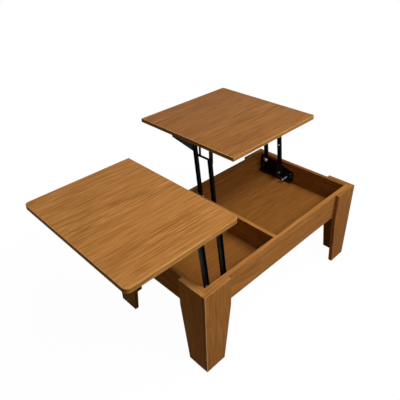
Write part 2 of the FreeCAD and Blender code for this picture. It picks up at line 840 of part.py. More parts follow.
def spring(lift):
    """A torsion spring: one leg hooked into the trail arm, the other over the anchor pin."""
    radius = size("spring_radius")
    pitch = size("spring_pitch")
    bend = size("spring_bend")
    upward = Vector(math.sin(lean), math.cos(lean), 0)
    level = Vector(0, 0, lift.side)

    def on_coil(turned):
        angle = -lean - turned
        height = coil_start + pitch * turned / (2 * math.pi)
        return Vector(radius * math.cos(angle), radius * math.sin(angle), lift.side * height)

    def coil_way(turned, climb):
        angle = -lean - turned
        way = Vector(math.sin(angle), -math.cos(angle), lift.side * climb)
        return way.normalize()

    sweep = coil_sweep()
    steps = math.ceil(sweep / (math.pi / 2))
    slope = pitch / (2 * math.pi * radius)
    first = on_coil(0)
    tip = first + upward * size("spring_arm_leg")
    hooked = tip + upward * bend - level * bend
    corner = tip + upward * bend
    edges = [arc_past(hooked, corner, tip), Part.LineSegment(tip, first).toShape()]
    for step in range(steps):
        from_turn = sweep * step / steps
        to_turn = sweep * (step + 1) / steps
        from_climb = 0 if step == 0 else slope
        to_climb = 0 if step == steps - 1 else slope
        edges += smooth_pair(
            on_coil(from_turn),
            coil_way(from_turn, from_climb),
            on_coil(to_turn),
            coil_way(to_turn, to_climb),
        )
    last = on_coil(sweep)
    angle, run = anchor_leg()
    way = Vector(math.cos(angle), math.sin(angle), 0)
    edges.append(Part.LineSegment(last, last + way * (run + size("spring_anchor_leg"))).toShape())
    path = Part.Wire(edges)
    wire = Part.Circle(hooked, level, size("spring_wire") / 2).toShape()
    item = document.addObject("Part::Feature", f"{lift.name}_spring_wire")
    item.Shape = path.makePipeShell([Part.Wire([wire])], True, False)
    item.Placement = lift.at(trail_pivot.x, trail_pivot.y, 0)
    print(f"{lift.name}_spring least gap to itself {least_gap(edges):.2f} mm")
    return keep(f"{lift.name}_spring", item)


def least_gap(edges):
    """The least room between turns of a wire, measured on points along its path."""
    points = []
    travelled = 0
    for edge in edges:
        count = math.ceil(edge.Length / (size("spring_wire") / 4))
        for point in edge.discretize(count + 1)[1:]:
            if points:
                travelled += (point - points[-1][1]).Length
            points.append((travelled, point))
    apart = size("spring_radius") * math.pi
    nearest = min(
        (one - other).Length
        for index, (gone, one) in enumerate(points)
        for gone_on, other in points[index + 1 :]
        if gone_on - gone > apart
    )
    return nearest - size("spring_wire")


# Assembly

pivot_height = size("rim_height") - size("pivot_drop")
near_pivot = -inner_x + size("near_pivot_inset")
far_pivot = inner_y - size("far_pivot_inset")
near_way = Vector(-1, 0, 0)
far_way = Vector(0, 1, 0)
divider_face = seam_x + size("divider_board") / 2
near_front = Vector(near_pivot, -inner_y, pivot_height)
near_back = Vector(near_pivot, inner_y, pivot_height)
far_inner = Vector(divider_face, far_pivot, pivot_height)
far_outer = Vector(inner_x, far_pivot, pivot_height)
near_lifts = [
    Lift("near_front", near_front, near_way, 1, "near_plate_reach"),
    Lift("near_back", near_back, near_way, -1, "near_plate_reach"),
]
far_lifts = [
    Lift("far_inner", far_inner, far_way, 1, "far_plate_reach"),
    Lift("far_outer", far_outer, far_way, -1, "far_plate_reach"),
]

enter(len(DRIVING_SIZES) + 1, "coil_turns", coil_sweep() / (2 * math.pi))
document.recompute()
COIL_LENGTH = (
    "2 * sizes.spring_face_gap + sizes.spring_wire + sizes.spring_pitch * sizes.coil_turns"
)

screws = []
for lift_frame in near_lifts + far_lifts:
    base_plate(lift_frame)
    pivot_bolts(lift_frame)
    arm(lift_frame, "lead", Vector())
    arm(lift_frame, "trail", trail_pivot)
    top_bracket(lift_frame)
    top_rivets(lift_frame)
    spring(lift_frame)
    screws += plate_screws(lift_frame)
base_screws = keep("base_screws", grouped("base_screw_set", screws))

fasteners = grouped("box_fasteners", [box_dowels(), leg_dowels(), base_screws])
long_rail("front_rail", -1, fasteners)
long_rail("back_rail", 1, fasteners)
end_rail("near_end_rail", -1, fasteners)
end_rail("far_end_rail", 1, fasteners)
floor_panel()
divider(fasteners)
legs(fasteners)

top_underside = size("rim_height") + size("rest_gap") + top_rise
top_front = -half_width - size("top_overhang")
near_outer = -half_length - size("top_overhang")
far_start = seam_x + size("top_seam") / 2
HALF_TOP = "sizes.frame_length / 2 + sizes.top_overhang - sizes.top_seam / 2"

near_length = far_start - size("top_seam") - near_outer
near_screws = [screw for frame in near_lifts for screw in bracket_screws(frame)]
top(
    "near_top",
    f"{HALF_TOP} - sizes.divider_offset",
    "sizes.near_corner_radius",
    lambda end: end.X < near_length / 2 or end.Y < half_width,
    Vector(near_outer - swing_out, top_front, top_underside),
    keep("near_bracket_screws", grouped("near_bracket_screw_set", near_screws)),
)
far_screws = [screw for frame in far_lifts for screw in bracket_screws(frame)]
far_length = half_length + size("top_overhang") - far_start
top(
    "far_top",
    f"{HALF_TOP} + sizes.divider_offset",
    "sizes.far_corner_radius",
    lambda end: end.X > far_length / 2,
    Vector(far_start, top_front + swing_out, top_underside),
    keep("far_bracket_screws", grouped("far_bracket_screw_set", far_screws)),
)

# Check, then write every sub-part

document.recompute()
for item in document.Objects:
    if "Invalid" in item.State or "Error" in item.State:
        raise RuntimeError(f"{item.Name} failed: {item.State}")
for label, item in sub_parts.items():
    if item.Shape.isNull() or not item.Shape.isValid() or not item.Shape.Solids:
        raise RuntimeError(f"{label} has no valid solid")

os.makedirs("parts", exist_ok=True)
for label, item in sub_parts.items():
    item.Shape.exportStep(f"parts/{label}.step")
print(f"{len(sub_parts)} sub-parts written")
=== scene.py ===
"""Looks of a convertible coffee dining table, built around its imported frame."""

import json
import logging
import math
from dataclasses import astuple, dataclass, field, fields
from enum import Enum
from typing import Any, Sequence

import bmesh
import bpy
import numpy as np
from mathutils import Matrix, Vector

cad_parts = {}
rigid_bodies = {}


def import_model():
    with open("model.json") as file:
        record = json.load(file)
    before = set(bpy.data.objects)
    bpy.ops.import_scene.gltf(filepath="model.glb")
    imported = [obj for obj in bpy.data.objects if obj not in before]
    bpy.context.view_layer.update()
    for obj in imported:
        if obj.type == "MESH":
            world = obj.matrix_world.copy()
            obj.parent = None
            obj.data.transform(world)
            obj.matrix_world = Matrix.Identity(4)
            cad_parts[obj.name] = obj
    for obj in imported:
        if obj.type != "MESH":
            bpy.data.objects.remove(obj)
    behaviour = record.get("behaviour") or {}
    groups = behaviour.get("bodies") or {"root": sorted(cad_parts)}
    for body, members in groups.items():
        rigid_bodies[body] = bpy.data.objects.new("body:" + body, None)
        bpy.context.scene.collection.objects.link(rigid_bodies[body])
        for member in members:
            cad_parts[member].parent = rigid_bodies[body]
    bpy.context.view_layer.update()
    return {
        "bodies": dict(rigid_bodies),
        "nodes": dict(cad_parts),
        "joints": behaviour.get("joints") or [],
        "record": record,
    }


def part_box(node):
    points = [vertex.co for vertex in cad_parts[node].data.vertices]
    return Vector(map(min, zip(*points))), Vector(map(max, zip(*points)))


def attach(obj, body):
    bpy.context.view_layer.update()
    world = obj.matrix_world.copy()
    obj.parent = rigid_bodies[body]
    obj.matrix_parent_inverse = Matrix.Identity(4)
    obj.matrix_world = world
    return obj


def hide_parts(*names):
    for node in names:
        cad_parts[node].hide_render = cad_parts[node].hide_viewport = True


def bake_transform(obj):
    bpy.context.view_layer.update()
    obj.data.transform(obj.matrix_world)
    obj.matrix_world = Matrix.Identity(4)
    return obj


LOG = logging.getLogger("lift_table")
MILLIMETRE = 0.001
FULL_TURN = 2.0 * math.pi
QUARTER_TURN = math.pi / 2.0
UP = Vector((0.0, 0.0, 1.0))
WHITE = (1.0, 1.0, 1.0)
SIDES = {"front": -1, "back": 1}
ENDS = {"near": -1, "far": 1}

# Names of the values that are kept on the points and corners of a mesh
GRAIN = "grain"
TONE = "tone"
FIGURE = "figure"
ARRIS = "arris"
SEAT_AXIS = "axis"
SEAT_TURN = "turn"

Pair = tuple[float, float]
Triple = tuple[float, float, float]
Colour = Triple
Frame = dict[str, Any]
Profile = list[Pair]
Seat = tuple[Vector, Vector]
Socket = bpy.types.NodeSocket


class GrainWay(Enum):
    """The row axis that a board's grain runs along."""

    LENGTHWAYS = 0
    CROSSWAYS = 1
    UPRIGHT = 2


class GrainSource(Enum):
    """Where a wood finish reads its coordinates."""

    BOARD = "board"
    OBJECT = "object"


# Node trees


class Graph:
    """Adds and links the nodes of one tree in few words."""

    def __init__(self, tree: bpy.types.NodeTree) -> None:
        """Take a tree and empty it."""
        self.tree = tree
        tree.nodes.clear()

    def add(
        self, kind: str, inputs: dict[str | int, Any] | None = None, **settings: Any
    ) -> bpy.types.Node:
        """Add a node.

        Args:
            kind: the node's type name.
            inputs: values or sockets for its inputs, by name or number.
            settings: properties of the node itself.

        Returns:
            The new node.
        """
        node = self.tree.nodes.new(kind)
        for name, value in settings.items():
            setattr(node, name, value)
        for key, value in (inputs or {}).items():
            socket = node.inputs[key]
            if isinstance(value, Socket):
                self.tree.links.new(value, socket)
            elif socket.type == "RGBA":
                socket.default_value = (*value, 1.0)
            else:
                socket.default_value = value
        return node

    def math(self, operation: str, *values: Any) -> Socket:
        """Reckon with numbers or sockets, in shader and geometry trees alike."""
        node = self.add("ShaderNodeMath", dict(enumerate(values)), operation=operation)
        return node.outputs[0]

    def vector(self, *parts: Any) -> Socket:
        """Join three numbers or sockets into a vector."""
        return self.add("ShaderNodeCombineXYZ", dict(enumerate(parts))).outputs[0]

    def attribute(self, name: str) -> Socket:
        """Read a number that is kept on the mesh."""
        return self.add("ShaderNodeAttribute", attribute_name=name).outputs["Fac"]

    def object_place(self) -> Socket:
        """Read the place in the row frame."""
        return self.add("ShaderNodeTexCoord").outputs["Object"]

    def noise(
        self, place: Socket, scales: Triple, detail: float = 1.0, roughness: float = 0.5
    ) -> Socket:
        """Add noise that is as fine along each axis as its scale there.

        Args:
            place: the coordinates.
            scales: one scale for each axis, per metre.
            detail: number of finer layers.
            roughness: weight of the finer layers.

        Returns:
            The noise value's socket, about 0.5 on average.
        """
        scaled = self.add("ShaderNodeVectorMath", {0: place, 1: scales}, operation="MULTIPLY")
        inputs = {"Vector": scaled.outputs[0], "Scale": 1.0, "Detail": detail, "Roughness": roughness}
        return self.add("ShaderNodeTexNoise", inputs).outputs[0]

    def clouds(self, place: Socket, scale: float) -> Socket:
        """Add soft blotches that are the same size along every axis."""
        return self.noise(place, (scale,) * 3, detail=3.0, roughness=0.6)

    def span(self, value: Socket, old: Pair, new: Pair = (0.0, 1.0)) -> Socket:
        """Map one range of values to another and hold it at its ends."""
        inputs = {0: value, 1: old[0], 2: old[1], 3: new[0], 4: new[1]}
        return self.add("ShaderNodeMapRange", inputs).outputs[0]

    def ramp(self, value: Socket, stops: Sequence[float], colours: Sequence[Colour]) -> Socket:
        """Turn a value into a colour.

        Args:
            value: the value's socket.
            stops: the value at which each colour is reached.
            colours: the colours.

        Returns:
            The colour's socket.
        """
        node = self.add("ShaderNodeValToRGB", {0: value})
        elements = node.color_ramp.elements
        while len(elements) < len(stops):
            elements.new(0.5)
        for element, stop, colour in zip(elements, stops, colours):
            element.position = stop
            element.color = (*colour, 1.0)
        return node.outputs[0]

    def tinted(self, factor: Socket, first: Any, second: Any) -> Socket:
        """Mix two colours or sockets by the second one's share."""
        inputs = {0: factor, 6: first, 7: second}
        return self.add("ShaderNodeMix", inputs, data_type="RGBA").outputs[2]

    def bumped(self, height: Socket, strength: float, reach: float) -> Socket:
        """Bend the surface's normal by a height whose value of one is so many metres."""
        inputs = {"Height": height, "Strength": strength, "Distance": reach}
        return self.add("ShaderNodeBump", inputs).outputs[0]

    def lifted(self, shape: Socket, height: Socket) -> Socket:
        """Move a shape upwards in a geometry tree."""
        inputs = {"Geometry": shape, "Translation": self.vector(0.0, 0.0, height)}
        return self.add("GeometryNodeTransform", inputs).outputs[0]

    def joined(self, *shapes: Socket) -> Socket:
        """Join shapes in a geometry tree.

        Args:
            shapes: the shapes' sockets.

        Returns:
            The joined shape's socket.
        """
        node = self.add("GeometryNodeJoinGeometry")
        for shape in shapes:
            self.tree.links.new(shape, node.inputs[0])
        return node.outputs[0]


def new_material(name: str) -> tuple[bpy.types.Material, Graph]:
    """Start a material.

    Args:
        name: the material's name.

    Returns:
        The material and the graph of its empty tree.
    """
    material = bpy.data.materials.new(name)
    material.use_nodes = True
    return material, Graph(material.node_tree)


# Finishes


@dataclass(frozen=True, kw_only=True)
class Finish:
    """What all finishes share: a roughness that varies, and a fine bumpy skin."""

    name: str
    roughness: float
    smoother: float
    rougher: float
    gloss_span: Pair
    bump_share: float
    bump_height: float
    sheen_level: float = 0.5
    metallic: float = 0.0

    def paint(self, graph: Graph) -> tuple[Socket, Socket, Socket]:
        """Draw the colour, the pattern of the roughness and the height of the skin."""
        raise NotImplementedError

    def material(self) -> bpy.types.Material:
        """Build the finish's material.

        Returns:
            The material.
        """
        material, graph = new_material(self.name)
        colour, pattern, height = self.paint(graph)
        gloss = (self.roughness - self.smoother, self.roughness + self.rougher)
        inputs = {
            "Base Color": colour,
            "Roughness": graph.span(pattern, self.gloss_span, gloss),
            "Normal": graph.bumped(height, self.bump_share, self.bump_height),
            "Specular IOR Level": self.sheen_level,
            "Metallic": self.metallic,
        }
        surface = graph.add("ShaderNodeBsdfPrincipled", inputs)
        graph.add("ShaderNodeOutputMaterial", {0: surface.outputs[0]})
        return material


@dataclass(frozen=True)
class GrainLayer:
    """One layer of marks in the grain, long along it and narrow across it."""

    along: float
    across: float
    weight: float = 1.0
    detail: float = 1.0
    roughness: float = 0.5
    cut: Pair | None = None
    levels: Pair = (0.0, 1.0)

    def drawn(self, graph: Graph, place: Socket) -> Socket:
        """Draw the layer.

        Args:
            graph: the material's graph.
            place: coordinates along the grain, across it and into the board.

        Returns:
            The layer's socket, at its levels where it is cut from the noise.
        """
        scales = (self.along, self.across, self.across)
        noise = graph.noise(place, scales, self.detail, self.roughness)
        return graph.span(noise, self.cut, self.levels) if self.cut else noise


DRIFT = GrainLayer(1.6, 4.0, cut=(0.0, 1.0), levels=(-0.02, 0.02))
BANDS = GrainLayer(1.1, 15.0, 0.1, detail=2.0)
STREAKS = GrainLayer(4.5, 150.0, 0.5, detail=2.0, roughness=0.6)
LINES = GrainLayer(9.0, 310.0, 0.4, detail=2.0, roughness=0.55)
FIBRES = GrainLayer(15.0, 760.0, 0.24)
GLINTS = GrainLayer(4.0, 150.0, 0.06, cut=(0.58, 0.7))
PORES = GrainLayer(26.0, 1500.0, 0.34, cut=(0.58, 0.72))
ZONES = GrainLayer(1.3, 7.0, cut=(0.36, 0.64), levels=(0.55, 1.3))


@dataclass(frozen=True, kw_only=True)
class WoodFinish(Finish):
    """Straight-grained satin wood laminate."""

    dark: Colour
    middle: Colour
    light: Colour
    # Painted highlight: a pale colour on the eased arrises, where rounded edges catch the light, and its
    # share.
    rubbed: Colour = (0.82, 0.56, 0.3)
    rubbed_share: float = 0.8
    roughness: float = 0.42
    smoother: float = 0.05
    rougher: float = 0.07
    gloss_span: Pair = (0.3, 0.7)
    bump_share: float = 0.12
    bump_height: float = 0.4 * MILLIMETRE
    sheen_level: float = 0.004
    source: GrainSource = GrainSource.BOARD
    grain_mean: float = 0.63
    stops: Triple = (0.34, 0.5, 0.66)
    pore_height: float = -0.6

    def coordinates(self, graph: Graph) -> Socket:
        """Find the coordinates: along the grain, across it and into the board.

        Args:
            graph: the material's graph.

        Returns:
            The coordinates' socket.
        """
        if self.source is GrainSource.OBJECT:
            return graph.object_place()
        return graph.add("ShaderNodeAttribute", attribute_name=GRAIN).outputs["Vector"]

    def paint(self, graph: Graph) -> tuple[Socket, Socket, Socket]:
        """Draw the grain, the pores and the painted highlights on the arrises.

        Args:
            graph: the material's graph.

        Returns:
            The colour, the pattern of the roughness and the height of the skin.
        """
        place = self.coordinates(graph)
        drift = DRIFT.drawn(graph, place)
        shift = graph.vector(0.0, drift, drift)
        wavy = graph.add("ShaderNodeVectorMath", {0: place, 1: shift}, operation="ADD").outputs[0]
        streaks = STREAKS.drawn(graph, wavy)
        pores = PORES.drawn(graph, wavy)
        grain = graph.math("MULTIPLY_ADD", streaks, STREAKS.weight, -self.grain_mean)
        for layer in (BANDS, LINES, FIBRES, GLINTS):
            grain = graph.math("MULTIPLY_ADD", layer.drawn(graph, wavy), layer.weight, grain)
        grain = graph.math("MULTIPLY", grain, ZONES.drawn(graph, wavy))
        grain = graph.math("MULTIPLY_ADD", grain, graph.attribute(FIGURE), grain)
        grain = graph.math("ADD", grain, graph.attribute(TONE))
        grain = graph.math("ADD", grain, self.stops[1])
        colour = graph.ramp(grain, self.stops, (self.dark, self.middle, self.light))
        colour = graph.tinted(graph.math("MULTIPLY", pores, PORES.weight), colour, self.dark)
        # Painted highlight: the arrises are tinted towards a pale colour where rounded edges catch the
        # light.
        wear_and_highlight = graph.math("MULTIPLY", graph.attribute(ARRIS), self.rubbed_share)
        height = graph.math("MULTIPLY_ADD", pores, self.pore_height, streaks)
        return graph.tinted(wear_and_highlight, colour, self.rubbed), streaks, height


@dataclass(frozen=True, kw_only=True)
class CoatFinish(Finish):
    """Powder coat with a fine orange-peel skin."""

    colour: Colour
    wear_and_highlight: Colour
    roughness: float = 0.5
    smoother: float = 0.08
    rougher: float = 0.12
    gloss_span: Pair = (0.25, 0.75)
    bump_share: float = 0.22
    bump_height: float = 0.3 * MILLIMETRE
    sheen_level: float = 0.07
    peel_scale: float = 620.0
    cloud_scale: float = 38.0
    dust_span: Pair = (0.5, 0.75)
    dust_share: float = 0.55
    highlight_strength_span: Pair = (0.35, 0.65)
    least_rub: float = 0.2

    def paint(self, graph: Graph) -> tuple[Socket, Socket, Socket]:
        """Draw the skin, the dust and the rubbed arrises.

        Args:
            graph: the material's graph.

        Returns:
            The colour, the pattern of the roughness and the height of the skin.
        """
        place = graph.object_place()
        peel = graph.noise(place, (self.peel_scale,) * 3, detail=2.0)
        cloud = graph.clouds(place, self.cloud_scale)
        dust = graph.span(cloud, self.dust_span, (0.0, self.dust_share))
        patchy = graph.span(cloud, self.highlight_strength_span, (self.least_rub, 1.0))
        rubbed = graph.math("MULTIPLY", graph.attribute(ARRIS), patchy)
        wear = graph.math("MAXIMUM", dust, rubbed)
        return graph.tinted(wear, self.colour, self.wear_and_highlight), cloud, peel


@dataclass(frozen=True, kw_only=True)
class MetalFinish(Finish):
    """Plated or oiled bare steel."""

    colour: Colour
    stain: Colour
    smoother: float = 0.07
    rougher: float = 0.12
    gloss_span: Pair = (0.3, 0.7)
    bump_share: float = 0.1
    bump_height: float = 0.1 * MILLIMETRE
    metallic: float = 1.0
    cloud_scale: float = 140.0
    scratch_scales: Triple = (2400.0, 2400.0, 420.0)
    stain_span: Pair = (0.4, 0.75)
    stain_share: float = 0.8

    def paint(self, graph: Graph) -> tuple[Socket, Socket, Socket]:
        """Draw the stains and the fine scratches.

        Args:
            graph: the material's graph.

        Returns:
            The colour, the pattern of the roughness and the height of the skin.
        """
        place = graph.object_place()
        cloud = graph.clouds(place, self.cloud_scale)
        scratch = graph.noise(place, self.scratch_scales, detail=2.0)
        stained = graph.span(cloud, self.stain_span, (0.0, self.stain_share))
        return graph.tinted(stained, self.colour, self.stain), cloud, scratch


TEAK = WoodFinish(
    name="teak laminate",
    dark=(0.2, 0.072, 0.0145),
    middle=(0.365, 0.152, 0.0372),
    light=(0.53, 0.246, 0.0756),
)
TOP_TEAK = WoodFinish(
    name="top teak laminate",
    dark=(0.2, 0.072, 0.014),
    middle=(0.365, 0.153, 0.037),
    light=(0.53, 0.248, 0.0725),
    sheen_level=0.035,
)
# Darker than the boards, partly as the panel's own colour and partly as painted shade inside the box.
FLOOR_TEAK = WoodFinish(
    name="storage floor laminate",
    dark=(0.135, 0.046, 0.0075),
    middle=(0.235, 0.09, 0.018),
    light=(0.33, 0.142, 0.035),
)
BAND_TEAK = WoodFinish(
    name="edge band",
    dark=(0.29, 0.13, 0.03),
    middle=(0.48, 0.232, 0.06),
    light=(0.64, 0.34, 0.1),
    roughness=0.36,
)
DOWEL_WOOD = WoodFinish(
    name="raw dowel beech",
    dark=(0.42, 0.27, 0.14),
    middle=(0.58, 0.41, 0.24),
    light=(0.68, 0.51, 0.33),
    roughness=0.7,
    source=GrainSource.OBJECT,
)
BLACK_COAT = CoatFinish(
    name="black powder coat",
    colour=(0.0045, 0.0045, 0.005),
    wear_and_highlight=(0.011, 0.011, 0.012),
)
BLACK_OXIDE = CoatFinish(
    name="black oxide",
    colour=(0.012, 0.012, 0.013),
    wear_and_highlight=(0.03, 0.03, 0.031),
    roughness=0.34,
)
BRIGHT_ZINC = MetalFinish(
    name="bright zinc plate",
    colour=(0.86, 0.87, 0.88),
    stain=(0.68, 0.7, 0.73),
    roughness=0.4,
)
DARK_WIRE = MetalFinish(
    name="oiled spring wire",
    colour=(0.07, 0.07, 0.075),
    stain=(0.13, 0.12, 0.11),
    roughness=0.3,
)


class FinishShelf:
    """Keeps one material for each finish."""

    def __init__(self) -> None:
        """Start with no material made."""
        self.made: dict[str, bpy.types.Material] = {}

    def get(self, finish: Finish) -> bpy.types.Material:
        """Give a finish's material, made once.

        Args:
            finish: the finish.

        Returns:
            Its material.
        """
        if finish.name not in self.made:
            self.made[finish.name] = finish.material()
        return self.made[finish.name]


# Meshes

MERGE_GAP = 2e-6
FLAT_ANGLE = math.radians(0.4)
EASED_ANGLE = math.radians(40.0)
SHARP_ANGLE = math.radians(50.0)
EASED_STEPS = 2
GRAIN_STEP = (1.37, 0.613, 0.871)


def mesh_object(name: str, mesh: bpy.types.Mesh, material: bpy.types.Material) -> bpy.types.Object:
    """Put a finished mesh into the scene.

    Args:
        name: the piece's name.
        mesh: its mesh, in the row frame.
        material: its one material.

    Returns:
        The new object, at the origin.
    """
    mesh.name = name
    mesh.materials.clear()
    mesh.materials.append(material)
    piece = bpy.data.objects.new(name, mesh)
    bpy.context.scene.collection.objects.link(piece)
    return piece


def settle(
    name: str, mesh: bpy.types.Mesh, material: bpy.types.Material, body: str, slot: str, *nodes: str
) -> None:
    """Make a piece, hang it on its body and hide the nodes it stands for.

    Args:
        name: the piece's name.
        mesh: its mesh, in the row frame.
        material: its one material.
        body: the CAD body that it moves with.
        slot: the record's material slot; not used.
        nodes: the CAD nodes that it stands for.
    """
    piece = mesh_object(name, mesh, material)
    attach(piece, body)
    if nodes:
        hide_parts(*nodes)
    LOG.info("%s rides on %s", name, body)


def modified(
    mesh: bpy.types.Mesh, kind: str, settings: dict[str, Any], inputs: dict[str, Any] | None = None
) -> bpy.types.Mesh:
    """Run one modifier over a mesh and keep the result as a plain mesh.

    Args:
        mesh: the mesh, which is used up.
        kind: the modifier's type.
        settings: the modifier's properties.
        inputs: values of a geometry tree's inputs, by socket identifier.

    Returns:
        The plain mesh.
    """
    holder = bpy.data.objects.new("holder", mesh)
    modifier = holder.modifiers.new("shape", kind)
    for name, value in settings.items():
        setattr(modifier, name, value)
    for identifier, value in (inputs or {}).items():
        modifier[identifier] = value
    bpy.context.scene.collection.objects.link(holder)
    view = bpy.context.evaluated_depsgraph_get()
    result = bpy.data.meshes.new_from_object(holder.evaluated_get(view))
    holder.modifiers.remove(modifier)
    bpy.data.objects.remove(holder)
    bpy.data.meshes.remove(mesh)
    return result


def shaded(shape: bmesh.types.BMesh) -> bpy.types.Mesh:
    """Keep a shape as a mesh, smooth over its rounded arrises and flat on its wide faces.

    Args:
        shape: the shape, which is freed.

    Returns:
        The shaded mesh.
    """
    mesh = bpy.data.meshes.new("shaded")
    shape.to_mesh(mesh)
    shape.free()
    mesh.shade_smooth()
    mesh.set_sharp_from_angle(angle=SHARP_ANGLE)
    return modified(mesh, "WEIGHTED_NORMAL", {"mode": "FACE_AREA", "keep_sharp": True})


def merged(source: bpy.types.Object) -> bmesh.types.BMesh:
    """Copy a CAD node's loose triangles and merge their points.

    Args:
        source: the node's object.

    Returns:
        The merged shape.
    """
    shape = bmesh.new()
    shape.from_mesh(source.data)
    bmesh.ops.remove_doubles(shape, verts=shape.verts, dist=MERGE_GAP)
    return shape


@dataclass(frozen=True)
class HighlightCorner:
    """An upright corner of a board with a painted highlight line on the wide face beside it."""

    end: int
    side: int
    reach: float = 4.0 * MILLIMETRE
    depth: float = 0.02 * MILLIMETRE
    marked_share: float = 0.9
    face_order: Triple = (1.0, 7.31, 31.7)

    def mark(self, shape: bmesh.types.BMesh, arris: bmesh.types.BMLayerItem) -> None:
        """Part the wide face beside the corner, and mark the points between.

        Args:
            shape: the eased board.
            arris: the layer that holds how far each point takes the painted highlight.
        """
        far_x = max(self.end * vertex.co.x for vertex in shape.verts)
        far_y = max(self.side * vertex.co.y for vertex in shape.verts)
        parted = [*shape.verts, *shape.edges, *shape.faces]
        place = (self.end * (far_x - self.reach), 0.0, 0.0)
        bmesh.ops.bisect_plane(shape, geom=parted, plane_co=place, plane_no=(1.0, 0.0, 0.0))
        # Parting leaves the faces in another order each time, so they are sorted by their place
        order = Vector(self.face_order)
        shape.faces.sort(key=lambda face: order.dot(face.calc_center_median()))
        # Painted highlight: points beside the corner are marked for the pale arris colour.
        for vertex in shape.verts:
            beside = self.end * vertex.co.x > far_x - self.marked_share * self.reach
            if beside and self.side * vertex.co.y > far_y - self.depth:
                vertex[arris] = 1.0


def eased_copy(
    source: bpy.types.Object, ease: float, corner: HighlightCorner | None = None
) -> bpy.types.Mesh:
    """Copy a CAD node's mesh, joined into whole faces, with its arrises eased.

    Args:
        source: the node's object.
        ease: width of the eased arrises in metres, or zero for none.
        corner: an upright corner with a painted highlight line, if there is one.

    Returns:
        The new mesh.
    """
    shape = merged(source)
    bmesh.ops.dissolve_limit(shape, angle_limit=FLAT_ANGLE, verts=shape.verts, edges=shape.edges)
    arris = shape.verts.layers.float.new(ARRIS)
    if ease > 0.0:
        solid = [edge for edge in shape.edges if edge.is_manifold]
        rounded = bmesh.ops.bevel(
            shape,
            geom=[edge for edge in solid if edge.calc_face_angle() > EASED_ANGLE],
            offset=ease,
            offset_type="OFFSET",
            segments=EASED_STEPS,
            profile=0.5,
            affect="EDGES",
            clamp_overlap=True,
        )
        strips = set(rounded["faces"])
        for vertex in shape.verts:
            vertex[arris] = float(strips.issuperset(vertex.link_faces))
    if corner:
        corner.mark(shape, arris)
    return shaded(shape)


def vertex_places(mesh: bpy.types.Mesh) -> np.ndarray:
    """Read a mesh's vertices.

    Args:
        mesh: the mesh.

    Returns:
        One row of three numbers each.
    """
    places = np.empty(len(mesh.vertices) * 3, np.float32)
    mesh.vertices.foreach_get("co", places)
    return places.reshape(-1, 3)


def write_vectors(mesh: bpy.types.Mesh, name: str, domain: str, rows: np.ndarray) -> None:
    """Keep a row of three numbers for each point or corner of a mesh."""
    layer = mesh.attributes.new(name, "FLOAT_VECTOR", domain)
    layer.data.foreach_set("vector", np.ascontiguousarray(rows, np.float32).ravel())


def write_numbers(mesh: bpy.types.Mesh, name: str, numbers: float | np.ndarray) -> None:
    """Keep a number for each point of a mesh, or the same one for all."""
    layer = mesh.attributes.get(name) or mesh.attributes.new(name, "FLOAT", "POINT")
    layer.data.foreach_set("value", np.broadcast_to(numbers, len(mesh.vertices)).astype(np.float32))


def write_grain(mesh: bpy.types.Mesh, rows: np.ndarray, number: int) -> None:
    """Keep the grain's coordinates for each corner, at a place in the wood of the board's own."""
    write_vectors(mesh, GRAIN, "CORNER", rows + (np.array(GRAIN_STEP) * number).astype(np.float32))


# Boards


@dataclass
class Board:
    """One flat board of the box, the legs or the tops."""

    node: str
    body: str
    way: GrainWay
    number: int
    ease: float = 1.4 * MILLIMETRE
    tone: float = 0.0
    figure: float = 0.0
    slot: str = "teak_board"
    finish: WoodFinish = TEAK
    corner: HighlightCorner | None = None
    end_facing: float = 0.7

    def grain_rows(self, mesh: bpy.types.Mesh) -> np.ndarray:
        """Lay the grain along the board, and along the edge on its two ends.

        Args:
            mesh: the board's mesh.

        Returns:
            Coordinates along the grain, across it and into the board for each face corner.
        """
        places = vertex_places(mesh)
        along = self.way.value
        others = [axis for axis in range(3) if axis != along]
        beside, thin = sorted(others, key=lambda axis: -np.ptp(places[:, axis]))
        rows = np.empty((len(mesh.loops), 3), np.float32)
        for face in mesh.polygons:
            order = [along, beside, thin]
            if abs(face.normal[along]) > self.end_facing:
                order = [beside, along, thin]
            for corner in face.loop_indices:
                rows[corner] = places[mesh.loops[corner].vertex_index][order]
        return rows

    def build(self, frame: Frame, shelf: FinishShelf) -> None:
        """Make the board's piece and hang it on its body.

        Args:
            frame: the loaded frame.
            shelf: the materials.
        """
        mesh = eased_copy(frame["nodes"][self.node], self.ease, self.corner)
        write_grain(mesh, self.grain_rows(mesh), self.number)
        write_numbers(mesh, TONE, self.tone)
        write_numbers(mesh, FIGURE, self.figure)
        settle(f"{self.node}_face", mesh, shelf.get(self.finish), self.body, self.slot, self.node)


